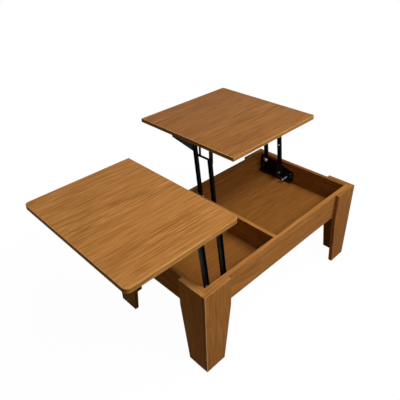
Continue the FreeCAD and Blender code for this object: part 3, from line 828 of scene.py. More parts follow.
@dataclass
class EdgeBand:
    """The band glued round a top, with its grain along every side."""

    node: str
    body: str
    number: int
    tone: float
    highlight_strength: float
    arris: float = 0.4 * MILLIMETRE

    @staticmethod
    def way_round(side: int, place: np.ndarray, size: np.ndarray) -> float:
        """Measure the way round the top to a place on its band.

        Args:
            side: the side, counted from the front and towards the right.
            place: the place, from the low corner.
            size: the top's length and depth.

        Returns:
            The way in metres.
        """
        start = (0.0, size[0], size[0] + size[1], 2.0 * size[0] + size[1])[side]
        step = (place[0], place[1], size[0] - place[0], size[1] - place[1])[side]
        return float(start + step)

    def build(self, frame: Frame, shelf: FinishShelf) -> None:
        """Make the band's piece and hang it on its body.

        Args:
            frame: the loaded frame.
            shelf: the materials.
        """
        mesh = eased_copy(frame["nodes"][self.node], 0.0)
        places = vertex_places(mesh)
        low, high = places.min(0), places.max(0)
        rows = np.zeros((len(mesh.loops), 3), np.float32)
        for face in mesh.polygons:
            middle = np.array(face.center)
            gaps = (middle[1] - low[1], high[0] - middle[0], high[1] - middle[1], middle[0] - low[0])
            side = int(np.argmin(gaps))
            for corner in face.loop_indices:
                place = places[mesh.loops[corner].vertex_index]
                rows[corner] = (self.way_round(side, place - low, high - low), place[2], 0.0)
        write_grain(mesh, rows, self.number)
        write_numbers(mesh, TONE, self.tone)
        # Painted highlight: the band's top and bottom arrises take the pale arris colour, as strongly as
        # its highlight strength.
        from_sides = np.minimum(places[:, 2] - low[2], high[2] - places[:, 2])
        write_numbers(mesh, ARRIS, self.highlight_strength * (from_sides < self.arris))
        settle(f"{self.node}_face", mesh, shelf.get(BAND_TEAK), self.body, "edge_band", self.node)


@dataclass
class StorageBox:
    """The rails, the divider and the floor panel."""

    body: str = "frame"
    figure: float = -0.2
    front_figure: float = -0.35
    floor_figure: float = -0.45
    floor_ease: float = 0.3 * MILLIMETRE

    def boards(self) -> list[Board]:
        """List the boards with the way of their grain.

        Returns:
            The boards.
        """
        long_way, cross_way = GrainWay.LENGTHWAYS, GrainWay.CROSSWAYS
        floor = Board(
            "floor_panel",
            self.body,
            long_way,
            6,
            self.floor_ease,
            figure=self.floor_figure,
            slot="floor_board",
            finish=FLOOR_TEAK,
        )
        # Painted shade: the back rail and the two end rails get darker tones, for their faces that lie in
        # shade.
        return [
            Board("front_rail", self.body, long_way, 1, tone=0.01, figure=self.front_figure),
            Board("back_rail", self.body, long_way, 2, tone=-0.115, figure=self.figure),
            Board("near_end_rail", self.body, cross_way, 3, tone=-0.05, figure=self.figure),
            Board("far_end_rail", self.body, cross_way, 4, tone=-0.15, figure=self.figure),
            Board("divider", self.body, cross_way, 5, tone=-0.01, figure=self.figure),
            floor,
        ]

    def build(self, frame: Frame, shelf: FinishShelf) -> None:
        """Make every board, and finish the hidden dowels.

        Args:
            frame: the loaded frame.
            shelf: the materials.
        """
        for board in self.boards():
            board.build(frame, shelf)
        for node in ("box_dowels", "leg_dowels"):
            slots = frame["nodes"][node].data.materials
            slots.clear()
            slots.append(shelf.get(DOWEL_WOOD))


@dataclass
class LegSet:
    """Four corner legs of two tapered boards each."""

    body: str = "frame"
    first_number: int = 10
    figure: float = -0.3
    # Painted light and shade: the front near leg's end board is set lighter and the front far leg's end
    # board darker, for their faces towards the near end.
    tones: tuple[float, ...] = (0.0, 0.05, -0.045, -0.08, 0.0, -0.015, 0.01, 0.0)

    def build(self, frame: Frame, shelf: FinishShelf) -> None:
        """Make every leg board, with a painted highlight line at the corner of those that face the long
        sides.

        Args:
            frame: the loaded frame.
            shelf: the materials.
        """
        halves = [(side, end, half) for side in SIDES for end in ENDS for half in ("side", "end")]
        for step, ((side, end, half), tone) in enumerate(zip(halves, self.tones)):
            board = Board(
                f"{side}_{end}_leg_{half}",
                self.body,
                GrainWay.UPRIGHT,
                self.first_number + step,
                tone=tone,
                figure=self.figure,
                corner=HighlightCorner(ENDS[end], SIDES[side]) if half == "side" else None,
            )
            board.build(frame, shelf)


@dataclass
class Top:
    """A top board with its edge band."""

    node: str
    body: str
    number: int
    tone: float
    figure: float
    band_tone: float
    band_highlight: float
    joint_ease: float = 0.12 * MILLIMETRE

    def build(self, frame: Frame, shelf: FinishShelf) -> None:
        """Make the board and its band.

        Args:
            frame: the loaded frame.
            shelf: the materials.
        """
        board = Board(
            self.node,
            self.body,
            GrainWay.LENGTHWAYS,
            self.number,
            self.joint_ease,
            self.tone,
            self.figure,
            finish=TOP_TEAK,
        )
        board.build(frame, shelf)
        band = EdgeBand(f"{self.node}_edging", self.body, self.number + 1, self.band_tone, self.band_highlight)
        band.build(frame, shelf)


# Repeated fasteners and wound wire


class ShapeTree:
    """A geometry tree with named sizes, which turns a mesh into a shape."""

    SIZES: tuple[str, ...] = ()

    def __init__(self, name: str) -> None:
        """Args:
            name: the tree's name.
        """
        self.tree = bpy.data.node_groups.new(name, "GeometryNodeTree")
        self.identifiers: dict[str, str] = {}
        plan = self.tree.interface
        kinds = {"Geometry": "Geometry", **dict.fromkeys(self.SIZES, "Float"), "Material": "Material"}
        for label, kind in kinds.items():
            socket = plan.new_socket(name=label, in_out="INPUT", socket_type=f"NodeSocket{kind}")
            self.identifiers[label] = socket.identifier
        plan.new_socket(name="Geometry", in_out="OUTPUT", socket_type="NodeSocketGeometry")
        graph = Graph(self.tree)
        given = graph.add("NodeGroupInput").outputs
        real = graph.add("GeometryNodeRealizeInstances", {0: self.shape(graph, given)}).outputs[0]
        dressed = graph.add("GeometryNodeSetMaterial", {"Geometry": real, "Material": given["Material"]})
        graph.add("NodeGroupOutput", {0: dressed.outputs[0]})

    def shape(self, graph: Graph, given: Any) -> Socket:
        """Add the nodes of the shape and give its socket."""
        raise NotImplementedError

    def run(
        self, source: bpy.types.Mesh, sizes: Sequence[float], material: bpy.types.Material
    ) -> bpy.types.Mesh:
        """Turn a mesh into the tree's shape.

        Args:
            source: the mesh that the tree starts from, which is used up.
            sizes: the tree's sizes, in order.
            material: the shape's material.

        Returns:
            The plain mesh.
        """
        values = dict(zip(self.SIZES, sizes), Material=material)
        inputs = {self.identifiers[label]: value for label, value in values.items()}
        made = modified(source, "NODES", {"node_group": self.tree}, inputs)
        shape = bmesh.new()
        shape.from_mesh(made)
        bpy.data.meshes.remove(made)
        bmesh.ops.recalc_face_normals(shape, faces=shape.faces)
        return shaded(shape)


@dataclass(frozen=True)
class FastenerSizes:
    """Sizes of a screw or rivet in metres, and how far its head is domed as a share."""

    head_radius: float
    head_height: float
    dome: float
    shank_radius: float
    shank_length: float
    recess_width: float = 0.0
    recess_depth: float = 0.0


class FastenerTree(ShapeTree):
    """A geometry tree that sets a domed head on a shank at every point of a mesh."""

    SIZES = tuple(size.name for size in fields(FastenerSizes))
    HEAD_CORNERS = 28
    HEAD_RINGS = 5
    SHANK_CORNERS = 16
    RECESS_REACH = 1.1
    TURN_STEP = 0.9

    def shape(self, graph: Graph, given: Any) -> Socket:
        """Add the nodes that make a fastener and copy it to the points.

        Args:
            graph: the tree's graph.
            given: the tree's inputs.

        Returns:
            The socket of the copies.
        """
        solids = {"Mesh 1": self.domed_head(graph, given), "Mesh 2": self.cross_recess(graph, given)}
        head = graph.add("GeometryNodeMeshBoolean", solids, operation="DIFFERENCE", solver="EXACT")
        sizes = {
            "Vertices": self.SHANK_CORNERS,
            "Radius": given["shank_radius"],
            "Depth": given["shank_length"],
        }
        shank = graph.add("GeometryNodeMeshCylinder", sizes).outputs["Mesh"]
        shank = graph.lifted(shank, graph.math("MULTIPLY", given["shank_length"], -0.5))
        axis = graph.add("GeometryNodeInputNamedAttribute", {"Name": SEAT_AXIS}, data_type="FLOAT_VECTOR")
        turn = graph.add("GeometryNodeInputNamedAttribute", {"Name": SEAT_TURN}, data_type="FLOAT")
        stand = graph.add("FunctionNodeAlignRotationToVector", {"Vector": axis.outputs[0]}, axis="Z")
        spin = graph.add("FunctionNodeAxisAngleToRotation", {"Axis": UP, "Angle": turn.outputs[0]})
        turns = {"Rotation": stand.outputs[0], "Rotate By": spin.outputs[0]}
        set_in = graph.add("FunctionNodeRotateRotation", turns, rotation_space="LOCAL")
        copies = {
            "Points": given["Geometry"],
            "Instance": graph.joined(shank, head.outputs["Mesh"]),
            "Rotation": set_in.outputs[0],
        }
        return graph.add("GeometryNodeInstanceOnPoints", copies).outputs[0]

    def domed_head(self, graph: Graph, given: Any) -> Socket:
        """Shape a cylinder into a domed head that stands on the point.

        Args:
            graph: the tree's graph.
            given: the tree's inputs.

        Returns:
            The head's socket.
        """
        sizes = {
            "Vertices": self.HEAD_CORNERS,
            "Side Segments": self.HEAD_RINGS,
            "Radius": given["head_radius"],
            "Depth": given["head_height"],
        }
        blank = graph.add("GeometryNodeMeshCylinder", sizes).outputs["Mesh"]
        place = graph.add("GeometryNodeInputPosition").outputs[0]
        parts = graph.add("ShaderNodeSeparateXYZ", {0: place}).outputs
        lift = graph.math("ADD", parts[2], graph.math("MULTIPLY", given["head_height"], 0.5))
        share = graph.math("DIVIDE", lift, given["head_height"])
        bend = graph.math("MULTIPLY", share, given["dome"])
        square = graph.math("MULTIPLY", bend, bend)
        width = graph.math("SQRT", graph.math("SUBTRACT", 1.0, square))
        wide = [graph.math("MULTIPLY", part, width) for part in (parts[0], parts[1])]
        inputs = {"Geometry": blank, "Position": graph.vector(*wide, lift)}
        return graph.add("GeometryNodeSetPosition", inputs).outputs[0]

    def cross_recess(self, graph: Graph, given: Any) -> Socket:
        """Make the cross that is sunk into the head.

        Args:
            graph: the tree's graph.
            given: the tree's inputs.

        Returns:
            The cross's socket.
        """
        length = graph.math("MULTIPLY", given["head_radius"], self.RECESS_REACH)
        width = given["recess_width"]
        depth = graph.math("MULTIPLY", given["recess_depth"], 2.0)
        sizes = [graph.vector(length, width, depth), graph.vector(width, length, depth)]
        arms = [graph.add("GeometryNodeMeshCube", {"Size": size}).outputs["Mesh"] for size in sizes]
        return graph.lifted(graph.joined(*arms), given["head_height"])

    def fastened(
        self, seats: Sequence[Seat], sizes: FastenerSizes, material: bpy.types.Material
    ) -> bpy.types.Mesh:
        """Set fasteners on their seats.

        Args:
            seats: each head's seat and the way that it faces.
            sizes: the fasteners' sizes.
            material: the fasteners' material.

        Returns:
            The plain mesh.
        """
        points = bpy.data.meshes.new("seats")
        points.from_pydata([tuple(seat) for seat, _ in seats], [], [])
        write_vectors(points, SEAT_AXIS, "POINT", np.array([tuple(way) for _, way in seats]))
        write_numbers(points, SEAT_TURN, self.TURN_STEP * np.arange(len(seats)))
        return self.run(points, astuple(sizes), material)


class WireTree(ShapeTree):
    """A geometry tree that draws round wire along a chain of points."""

    SIZES = ("wire_radius",)
    RING_CORNERS = 14

    def shape(self, graph: Graph, given: Any) -> Socket:
        """Add the nodes that sweep a ring along the chain.

        Args:
            graph: the tree's graph.
            given: the tree's inputs.

        Returns:
            The wire's socket.
        """
        path = graph.add("GeometryNodeMeshToCurve", {0: given["Geometry"]}).outputs[0]
        sizes = {"Resolution": self.RING_CORNERS, "Radius": given["wire_radius"]}
        ring = graph.add("GeometryNodeCurvePrimitiveCircle", sizes).outputs[0]
        sweep = {"Curve": path, "Profile Curve": ring, "Fill Caps": True}
        return graph.add("GeometryNodeCurveToMesh", sweep).outputs[0]

    def wound(
        self, path: Sequence[Vector], radius: float, material: bpy.types.Material
    ) -> bpy.types.Mesh:
        """Draw wire along a path.

        Args:
            path: the points of its middle line.
            radius: the wire's radius in metres.
            material: the wire's material.

        Returns:
            The plain mesh.
        """
        chain = bpy.data.meshes.new("chain")
        links = [(step, step + 1) for step in range(len(path) - 1)]
        chain.from_pydata([tuple(point) for point in path], links, [])
        return self.run(chain, [radius], material)


# Lift mechanisms


@dataclass
class LiftSizes:
    """Sizes shared by the four lift mechanisms, in metres, radians, counts and shares."""

    sheet: float = 2.5 * MILLIMETRE
    standoff: float = 5.0 * MILLIMETRE
    arm_depth: float = 10.0 * MILLIMETRE
    arm_wall: float = 2.0 * MILLIMETRE
    arm_width: float = 22.0 * MILLIMETRE
    face_gap: float = 0.2 * MILLIMETRE
    web_gap: float = 0.5 * MILLIMETRE
    lean: float = math.radians(6.0)
    arris: float = 0.45 * MILLIMETRE
    pin_radius: float = 5.0 * MILLIMETRE
    pin_round_share: float = 0.3
    pin_round_steps: int = 5
    shoulder_radius: float = 8.0 * MILLIMETRE
    shoulder_chamfer_share: float = 0.08
    nut_radius: float = 8.5 * MILLIMETRE
    nut_height: float = 5.0 * MILLIMETRE
    nut_end_share: float = 0.9
    nut_chamfer_share: float = 0.12
    washer_radius: float = 10.0 * MILLIMETRE
    washer_height: float = 1.0 * MILLIMETRE
    washer_foot_share: float = 0.96
    washer_face_share: float = 0.95
    washer_edge_share: float = 0.3
    thread_end: float = 1.6 * MILLIMETRE
    thread_turns: int = 3
    thread_root_share: float = 0.88
    thread_tip_share: float = 0.8
    stop_radius: float = 3.0 * MILLIMETRE
    stop_reach: float = 8.0 * MILLIMETRE
    stop_gap: float = 0.3 * MILLIMETRE
    anchor_radius: float = 5.0 * MILLIMETRE
    anchor_back: float = 38.0 * MILLIMETRE
    anchor_fall: float = 18.5 * MILLIMETRE
    anchor_overrun: float = 5.0 * MILLIMETRE
    wire_radius: float = 1.5 * MILLIMETRE
    coil_radius: float = 8.0 * MILLIMETRE
    coil_pitch: float = 3.8 * MILLIMETRE
    coil_turns: int = 4
    coil_step: float = math.radians(12.0)
    coil_ramp: float = math.radians(70.0)
    coil_gap: float = 0.3 * MILLIMETRE
    sleeve_gap: float = 0.5 * MILLIMETRE
    arm_leg: float = 40.0 * MILLIMETRE
    anchor_leg: float = 8.0 * MILLIMETRE
    hook: float = 3.2 * MILLIMETRE
    hook_steps: int = 6

    @property
    def arm_face(self) -> float:
        """Height of the arms' closed face off the rail."""
        return self.sheet + self.standoff + self.arm_depth

    @property
    def arm_web(self) -> float:
        """Height of the inside of the arms' closed face."""
        return self.arm_face - self.arm_wall


@dataclass
class Lift:
    """One lift mechanism on a rail or on the divider."""

    name: str
    pair: str
    outward: Vector
    off_rail: Vector
    sizes: LiftSizes = field(default_factory=LiftSizes)
    lead: Vector = field(default_factory=Vector)
    trail: Vector = field(default_factory=Vector)
    upper: Vector = field(default_factory=Vector)

    def locate(self, frame: Frame) -> None:
        """Find the pivots on the rail's face from the joints and the base plate.

        Args:
            frame: the loaded frame.
        """
        pivots = {joint["name"]: Vector(joint["pos_m"]) for joint in frame["joints"]}
        low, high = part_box(f"{self.name}_base_plate")
        axis = max(range(3), key=lambda number: abs(self.off_rail[number]))
        face = low[axis] if self.off_rail[axis] > 0.0 else high[axis]
        self.lead = pivots[f"{self.pair}_lift"]
        self.trail = pivots[f"{self.pair}_trail_swing"]
        self.upper = pivots[f"{self.pair}_top_level"]
        for pivot in (self.lead, self.trail, self.upper):
            pivot[axis] = face

    def at(self, foot: Vector, across: float, along: float, off: float = 0.0) -> Vector:
        """Find the point so far outwards, upwards and off the rail from a place on its face."""
        return foot + self.outward * across + UP * along + self.off_rail * off

    def around(self, foot: Vector, radius: float, angle: float, off: float = 0.0) -> Vector:
        """Find a point on a circle round an axis that stands off the rail."""
        return self.at(foot, radius * math.cos(angle), radius * math.sin(angle), off)

    def turn(
        self, shape: bmesh.types.BMesh, foot: Vector, profile: Profile, corners: int = 32
    ) -> None:
        """Turn a profile round an axis that stands off the rail.

        Args:
            shape: the shape that the closed piece is added to.
            foot: the axis's place on the rail's face.
            profile: heights off the rail and radii, from end to end.
            corners: corners of each ring.
        """
        rings = []
        for off, radius in profile:
            angles = [FULL_TURN * step / corners for step in range(corners)]
            rings.append([shape.verts.new(self.around(foot, radius, angle, off)) for angle in angles])
        faces = []
        for lower, upper in zip(rings, rings[1:]):
            for step in range(corners):
                after = (step + 1) % corners
                faces.append(shape.faces.new((lower[step], lower[after], upper[after], upper[step])))
        faces.append(shape.faces.new(rings[0]))
        faces.append(shape.faces.new(rings[-1]))
        bmesh.ops.recalc_face_normals(shape, faces=faces)

    def nut(self, shape: bmesh.types.BMesh, pivot: Vector, start: float) -> None:
        """Make a washer, a chamfered hexagon nut and the end of its thread.

        Args:
            shape: the shape that they are added to.
            pivot: the pivot that they stand on.
            start: height of the washer's seat off the rail.
        """
        size = self.sizes
        seat = start + size.washer_height
        end = start + size.nut_height
        edge = size.washer_edge_share * size.washer_height
        washer = [
            (start, size.washer_foot_share * size.washer_radius),
            (start + edge, size.washer_radius),
            (seat - edge, size.washer_radius),
            (seat, size.washer_face_share * size.washer_radius),
        ]
        chamfer = size.nut_chamfer_share * size.nut_height
        slim = size.nut_end_share * size.nut_radius
        hexagon = [
            (seat, slim),
            (seat + chamfer, size.nut_radius),
            (end - chamfer, size.nut_radius),
            (end, slim),
        ]
        pitch = size.thread_end / (size.thread_turns + 1)
        thread = [(end, size.pin_radius)]
        for step in range(size.thread_turns):
            thread.append((end + pitch * (step + 0.5), size.thread_root_share * size.pin_radius))
            thread.append((end + pitch * (step + 1.0), size.pin_radius))
        thread.append((end + size.thread_end, size.thread_tip_share * size.pin_radius))
        self.turn(shape, pivot, washer)
        self.turn(shape, pivot, hexagon, corners=6)
        self.turn(shape, pivot, thread)

    def pin(self, shape: bmesh.types.BMesh, foot: Vector, end: float, radius: float) -> None:
        """Make a plain pin with a rounded end on the base plate.

        Args:
            shape: the shape that it is added to.
            foot: its axis's place on the rail's face.
            end: height of its end off the rail.
            radius: its radius.
        """
        size = self.sizes
        rounding = size.pin_round_share * radius
        profile = [(size.sheet, radius)]
        for step in range(size.pin_round_steps + 1):
            bend = QUARTER_TURN * step / size.pin_round_steps
            fall = rounding * (1.0 - math.sin(bend))
            profile.append((end - fall, radius - rounding * (1.0 - math.cos(bend))))
        self.turn(shape, foot, profile)

    def coil_end(self) -> tuple[float, float, float]:
        """Work out the coil's sweep, the fixed leg's direction and its run to the anchor pin.

        Returns:
            The sweep and the direction in radians and the run in metres.
        """
        size = self.sizes
        run = math.hypot(size.anchor_back, size.anchor_fall)
        apart = size.coil_radius + size.anchor_radius + size.wire_radius + size.coil_gap
        way = math.atan2(-size.anchor_fall, -size.anchor_back) - math.asin(apart / run)
        part_turn = (-size.lean - way - QUARTER_TURN) % FULL_TURN
        return FULL_TURN * size.coil_turns + part_turn, way, math.sqrt(run**2 - apart**2)

    def coil_height(self) -> float:
        """Give the room that the coil takes along its bolt."""
        climb = self.sizes.coil_pitch * self.coil_end()[0] / FULL_TURN
        return 2.0 * self.sizes.coil_gap + 2.0 * self.sizes.wire_radius + climb

    def climbed(self, turned: float, sweep: float) -> float:
        """Ease the coil's climb in at its start and out at its end.

        Args:
            turned: the angle from the coil's start.
            sweep: the coil's whole angle.

        Returns:
            The angle whose steady climb is as high.
        """
        ramp = self.sizes.coil_ramp
        if turned < ramp:
            return turned**2 / ramp
        if turned > sweep - ramp:
            return sweep - (sweep - turned) ** 2 / ramp
        return turned

    def spring_path(self) -> list[Vector]:
        """Lay out the spring's middle line, from its hook to the end of its fixed leg.

        Returns:
            The points in the row frame.
        """
        size = self.sizes
        sweep, way, run = self.coil_end()
        low = size.arm_face + size.coil_gap + size.wire_radius
        beside = self.around(self.trail, size.coil_radius, -size.lean)
        path = []
        for step in range(size.hook_steps + 1):
            bend = QUARTER_TURN * (1.0 - step / size.hook_steps)
            far = size.arm_leg + size.hook * math.sin(bend)
            off = low - size.hook * (1.0 - math.cos(bend))
            path.append(self.around(beside, far, QUARTER_TURN - size.lean, off))
        steps = math.ceil(sweep / size.coil_step)
        for step in range(steps + 1):
            turned = sweep * step / steps
            off = low + size.coil_pitch * self.climbed(turned, sweep) / FULL_TURN
            path.append(self.around(self.trail, size.coil_radius, -size.lean - turned, off))
        path.append(self.around(path[-1], run + size.anchor_leg, way))
        return path

    def build_steel(self, frame: Frame, shelf: FinishShelf) -> None:
        """Dress the plate, the arms and the bracket.

        Args:
            frame: the loaded frame.
            shelf: the materials.
        """
        bodies = {
            "base_plate": "frame",
            "lead_arm": f"{self.pair}_lead_arms",
            "trail_arm": f"{self.pair}_trail_arms",
            "top_bracket": f"{self.pair}_top_set",
        }
        for role, body in bodies.items():
            node = f"{self.name}_{role}"
            mesh = eased_copy(frame["nodes"][node], self.sizes.arris)
            settle(f"{node}_steel", mesh, shelf.get(BLACK_COAT), body, "black_steel", node)

    def build_bolts(self, shelf: FinishShelf) -> None:
        """Make the bolts and pins of the base plate.

        Args:
            shelf: the materials.
        """
        size = self.sizes
        shoulder = size.arm_web - size.face_gap
        past_arm = size.arm_face + size.face_gap
        chamfer = size.shoulder_chamfer_share * size.shoulder_radius
        collar = [
            (size.sheet, size.shoulder_radius),
            (shoulder - chamfer, size.shoulder_radius),
            (shoulder, size.shoulder_radius - chamfer),
            (shoulder, size.pin_radius),
            (past_arm, size.pin_radius),
        ]
        stop_side = size.arm_width / 2.0 + size.stop_radius + size.stop_gap
        stop_rise = self.around(self.lead, size.stop_reach, QUARTER_TURN - size.lean)
        stop = self.around(stop_rise, stop_side, -size.lean)
        anchor = self.at(self.trail, -size.anchor_back, -size.anchor_fall)
        anchor_end = size.arm_face + self.coil_height() + size.anchor_overrun
        bright = bmesh.new()
        self.turn(bright, self.lead, collar)
        self.nut(bright, self.lead, past_arm)
        self.pin(bright, stop, size.arm_face, size.stop_radius)
        self.pin(bright, anchor, anchor_end, size.anchor_radius)
        sleeve = size.coil_radius - size.wire_radius - size.sleeve_gap
        sleeve_end = past_arm + self.coil_height()
        dull = bmesh.new()
        self.turn(dull, self.trail, collar + [(past_arm, sleeve), (sleeve_end, sleeve)])
        self.nut(dull, self.trail, sleeve_end)
        zinc, black = shelf.get(BRIGHT_ZINC), shelf.get(BLACK_OXIDE)
        node = f"{self.name}_pivot_bolts"
        settle(f"{self.name}_bright_bolts", shaded(bright), zinc, "frame", "zinc_steel", node)
        settle(f"{self.name}_trail_bolt", shaded(dull), black, "frame", "black_steel")

    def build_spring(self, wire: WireTree, shelf: FinishShelf) -> None:
        """Wind the spring in its rest place and hide the CAD spring that it stands for.

        Args:
            wire: the wire's geometry tree.
            shelf: the materials.
        """
        size = self.sizes
        material = shelf.get(DARK_WIRE)
        mesh = wire.wound(self.spring_path(), size.wire_radius, material)
        piece = mesh_object(f"{self.name}_coil", mesh, material)
        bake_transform(piece)
        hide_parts(f"{self.name}_spring")
        LOG.info("%s twists with %s_trail_arms", piece.name, self.pair)

    def rivet_seats(self) -> tuple[list[Seat], list[Seat]]:
        """Find the seats of the rivets' outer heads and of those inside the arms.

        Returns:
            The outer seats and the inner seats, each with the way that the head faces.
        """
        size = self.sizes
        outer = size.arm_face + size.web_gap + size.sheet
        inner = size.arm_web - size.face_gap
        pivots = (self.upper, self.upper + self.trail - self.lead)
        outside = [(pivot + self.off_rail * outer, self.off_rail) for pivot in pivots]
        inside = [(pivot + self.off_rail * inner, -self.off_rail) for pivot in pivots]
        return outside, inside


@dataclass
class Fasteners:
    """Screws and rivets of all four mechanisms."""

    screw: FastenerSizes = FastenerSizes(
        head_radius=4.2 * MILLIMETRE,
        head_height=2.4 * MILLIMETRE,
        dome=0.82,
        shank_radius=2.0 * MILLIMETRE,
        shank_length=11.5 * MILLIMETRE,
        recess_width=1.1 * MILLIMETRE,
        recess_depth=1.3 * MILLIMETRE,
    )
    outer_rivet: FastenerSizes = FastenerSizes(
        head_radius=8.0 * MILLIMETRE,
        head_height=2.5 * MILLIMETRE,
        dome=0.8,
        shank_radius=5.0 * MILLIMETRE,
        shank_length=5.1 * MILLIMETRE,
    )
    inner_rivet: FastenerSizes = FastenerSizes(
        head_radius=8.0 * MILLIMETRE,
        head_height=2.5 * MILLIMETRE,
        dome=0.55,
        shank_radius=4.0 * MILLIMETRE,
        shank_length=0.3 * MILLIMETRE,
    )
    end_gap: float = 0.01 * MILLIMETRE

    @staticmethod
    def islands(node: bpy.types.Object) -> list[np.ndarray]:
        """Split a group node into its single fasteners.

        Args:
            node: the group's object.

        Returns:
            The vertices of each fastener.
        """
        shape = merged(node)
        seen: set[bmesh.types.BMVert] = set()
        groups = []
        for vertex in shape.verts:
            if vertex in seen:
                continue
            seen.add(vertex)
            stack, group = [vertex], []
            while stack:
                here = stack.pop()
                group.append(tuple(here.co))
                fresh = {edge.other_vert(here) for edge in here.link_edges} - seen
                seen |= fresh
                stack.extend(fresh)
            groups.append(np.array(group))
        shape.free()
        return groups

    def screw_seats(self, node: bpy.types.Object) -> list[Seat]:
        """Find each screw's seat and the way its head faces from its solid.

        Args:
            node: the group's object.

        Returns:
            The seats and ways.
        """
        seats = []
        for group in self.islands(node):
            low, high = group.min(0), group.max(0)
            axis = int(np.argmax(high - low))
            across = (axis + 1) % 3
            low_end = group[group[:, axis] < low[axis] + self.end_gap]
            high_end = group[group[:, axis] > high[axis] - self.end_gap]
            upwards = np.ptp(high_end[:, across]) > np.ptp(low_end[:, across])
            way = Vector((0.0, 0.0, 0.0))
            way[axis] = 1.0 if upwards else -1.0
            seat = Vector((low + high) / 2.0)
            seat[axis] = (high if upwards else low)[axis] - way[axis] * self.screw.head_height
            seats.append((seat, way))
        return seats

    def build(self, frame: Frame, lifts: Sequence[Lift], shelf: FinishShelf) -> None:
        """Set all screws and rivets.

        Args:
            frame: the loaded frame.
            lifts: the mechanisms, with their pivots found.
            shelf: the materials.
        """
        tree = FastenerTree("domed fasteners")
        zinc, black = shelf.get(BRIGHT_ZINC), shelf.get(BLACK_OXIDE)
        screws = {
            "base_screws": "frame",
            "near_bracket_screws": "near_top_set",
            "far_bracket_screws": "far_top_set",
        }
        for node, body in screws.items():
            mesh = tree.fastened(self.screw_seats(frame["nodes"][node]), self.screw, zinc)
            settle(f"{node}_cross", mesh, zinc, body, "zinc_steel", node)
        for lift in lifts:
            outside, inside = lift.rivet_seats()
            body = f"{lift.pair}_top_set"
            node = f"{lift.name}_top_rivets"
            mesh = tree.fastened(outside, self.outer_rivet, zinc)
            settle(f"{node}_outer", mesh, zinc, body, "zinc_steel", node)
            mesh = tree.fastened(inside, self.inner_rivet, black)
            settle(f"{node}_inner", mesh, black, body, "black_steel")


# Studio


@dataclass(frozen=True)
class Lamp:
    """A square soft lamp."""

    name: str
    place: Triple
    aim: Triple
    size: float
    power: float
    mirrored: bool = True

    def build(self) -> None:
        """Hang the lamp so that it faces its aim."""
        data = bpy.data.lights.new(self.name, "AREA")
        data.size = self.size
        data.energy = self.power
        lamp = bpy.data.objects.new(self.name, data)
        lamp.location = self.place
        lamp.rotation_mode = "QUATERNION"
        lamp.rotation_quaternion = (Vector(self.aim) - Vector(self.place)).to_track_quat("-Z", "Y")
        lamp.visible_glossy = self.mirrored
        bpy.context.scene.collection.objects.link(lamp)


@dataclass
class Studio:
    """A white floor, soft lamps and an even surround."""

    floor_half: float = 30.0
    floor_drop: float = 0.5 * MILLIMETRE
    floor_bounce: Colour = (0.25, 0.205, 0.15)
    floor_white: float = 0.98
    shadow_reach: float = 1.5
    surround: Colour = (0.135, 0.112, 0.08)
    lamps: tuple[Lamp, ...] = (
        Lamp("key", (0.5, -1.9, 3.0), (-0.1, 0.0, 0.4), 2.0, 108.0),
        Lamp("overhead", (0.3, -0.6, 3.0), (0.0, 0.0, 0.4), 1.8, 6.0),
        Lamp("behind", (1.3, 2.1, 0.6), (0.1, 0.1, 0.35), 1.0, 22.0, mirrored=False),
    )

    def white_rays(self, graph: Graph) -> Socket:
        """Tell rays from the camera, and those that metal mirrors, from the rest.

        Args:
            graph: the material's or the world's graph.

        Returns:
            A socket that is one for those rays.
        """
        rays = graph.add("ShaderNodeLightPath").outputs
        seen = graph.math("MAXIMUM", rays["Is Camera Ray"], rays["Is Glossy Ray"])
        return graph.math("MAXIMUM", seen, rays["Is Transmission Ray"])

    def floor(self) -> None:
        """Lay the floor, white to the eye and with a soft shadow."""
        material, graph = new_material("pale floor")
        seen = self.white_rays(graph)
        tint = graph.tinted(seen, self.floor_bounce, WHITE)
        matt = graph.add("ShaderNodeBsdfDiffuse", {"Color": tint}).outputs[0]
        white = graph.add("ShaderNodeEmission", {"Color": WHITE, "Strength": 1.0}).outputs[0]
        reach = graph.add("ShaderNodeVectorMath", {0: graph.object_place()}, operation="LENGTH")
        fading = (0.5 * self.shadow_reach, self.shadow_reach)
        whiteness = graph.span(reach.outputs["Value"], fading, (self.floor_white, 1.0))
        share = graph.math("MULTIPLY", seen, whiteness)
        mixed = graph.add("ShaderNodeMixShader", {0: share, 1: matt, 2: white}).outputs[0]
        graph.add("ShaderNodeOutputMaterial", {0: mixed})
        half = self.floor_half
        mesh = bpy.data.meshes.new("floor")
        corners = [(-half, -half, 0.0), (half, -half, 0.0), (half, half, 0.0), (-half, half, 0.0)]
        mesh.from_pydata(corners, [], [(0, 1, 2, 3)])
        floor = mesh_object("floor", mesh, material)
        floor.location.z = -self.floor_drop

    def world(self) -> None:
        """Make the even surround."""
        world = bpy.data.worlds.new("surround")
        world.use_nodes = True
        graph = Graph(world.node_tree)
        tint = graph.tinted(self.white_rays(graph), self.surround, WHITE)
        light = graph.add("ShaderNodeBackground", {"Color": tint, "Strength": 1.0})
        graph.add("ShaderNodeOutputWorld", {0: light.outputs[0]})
        bpy.context.scene.world = world

    def build(self) -> None:
        """Set up the floor, the surround and the lamps."""
        self.floor()
        self.world()
        for lamp in self.lamps:
            lamp.build()
        bpy.context.scene.view_settings.view_transform = "Standard"


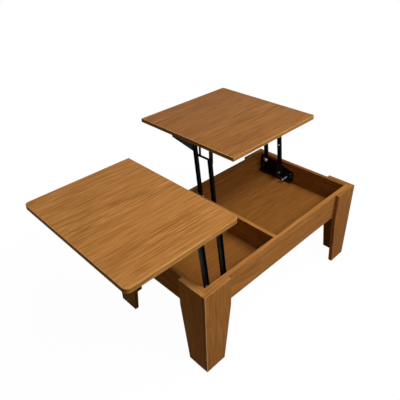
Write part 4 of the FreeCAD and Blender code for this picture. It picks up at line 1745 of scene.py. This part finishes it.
@dataclass
class PhotoCamera:
    """The photograph's camera."""

    place: Triple = (-1.06041, -1.17241, 1.50684)
    azimuth: float = math.radians(-43.0362)
    elevation: float = math.radians(33.8293)
    roll: float = math.radians(-2.2648)
    lens: float = 38.606
    sensor: float = 36.0
    sight: float = 200.0

    def build(self) -> None:
        """Set the camera up and look through it."""
        level = Vector((math.cos(self.azimuth), math.sin(self.azimuth), 0.0))
        away = Vector((math.sin(self.azimuth), -math.cos(self.azimuth), 0.0))
        back = away * math.cos(self.elevation) + UP * math.sin(self.elevation)
        rise = back.cross(level)
        right = level * math.cos(self.roll) + rise * math.sin(self.roll)
        upward = rise * math.cos(self.roll) - level * math.sin(self.roll)
        data = bpy.data.cameras.new("photo camera")
        data.lens = self.lens
        data.sensor_width = self.sensor
        data.clip_end = self.sight
        camera = bpy.data.objects.new("photo camera", data)
        turn = Matrix((right, upward, back)).transposed().to_4x4()
        camera.matrix_world = Matrix.Translation(self.place) @ turn
        bpy.context.scene.collection.objects.link(camera)
        bpy.context.scene.camera = camera


def main() -> None:
    """Set up the camera and the studio, then build the table's pieces in order."""
    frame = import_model()
    shelf = FinishShelf()
    PhotoCamera().build()
    Studio().build()
    StorageBox().build(frame, shelf)
    LegSet().build(frame, shelf)
    tops = [
        Top("near_top", "near_top_set", 20, tone=0.018, figure=0.05, band_tone=-0.055, band_highlight=0.2),
        Top("far_top", "far_top_set", 24, tone=-0.085, figure=-0.32, band_tone=-0.07, band_highlight=0.6),
    ]
    for top in tops:
        top.build(frame, shelf)
    lengthways, crossways = Vector((1.0, 0.0, 0.0)), Vector((0.0, 1.0, 0.0))
    lifts = [
        Lift("near_front", "near", -lengthways, crossways),
        Lift("near_back", "near", -lengthways, -crossways),
        Lift("far_inner", "far", crossways, lengthways),
        Lift("far_outer", "far", crossways, -lengthways),
    ]
    wire = WireTree("wound wire")
    for lift in lifts:
        lift.locate(frame)
        lift.build_steel(frame, shelf)
        lift.build_bolts(shelf)
        lift.build_spring(wire, shelf)
    Fasteners().build(frame, lifts, shelf)


if __name__ == "__main__":
    logging.basicConfig(level=logging.INFO)
    main()
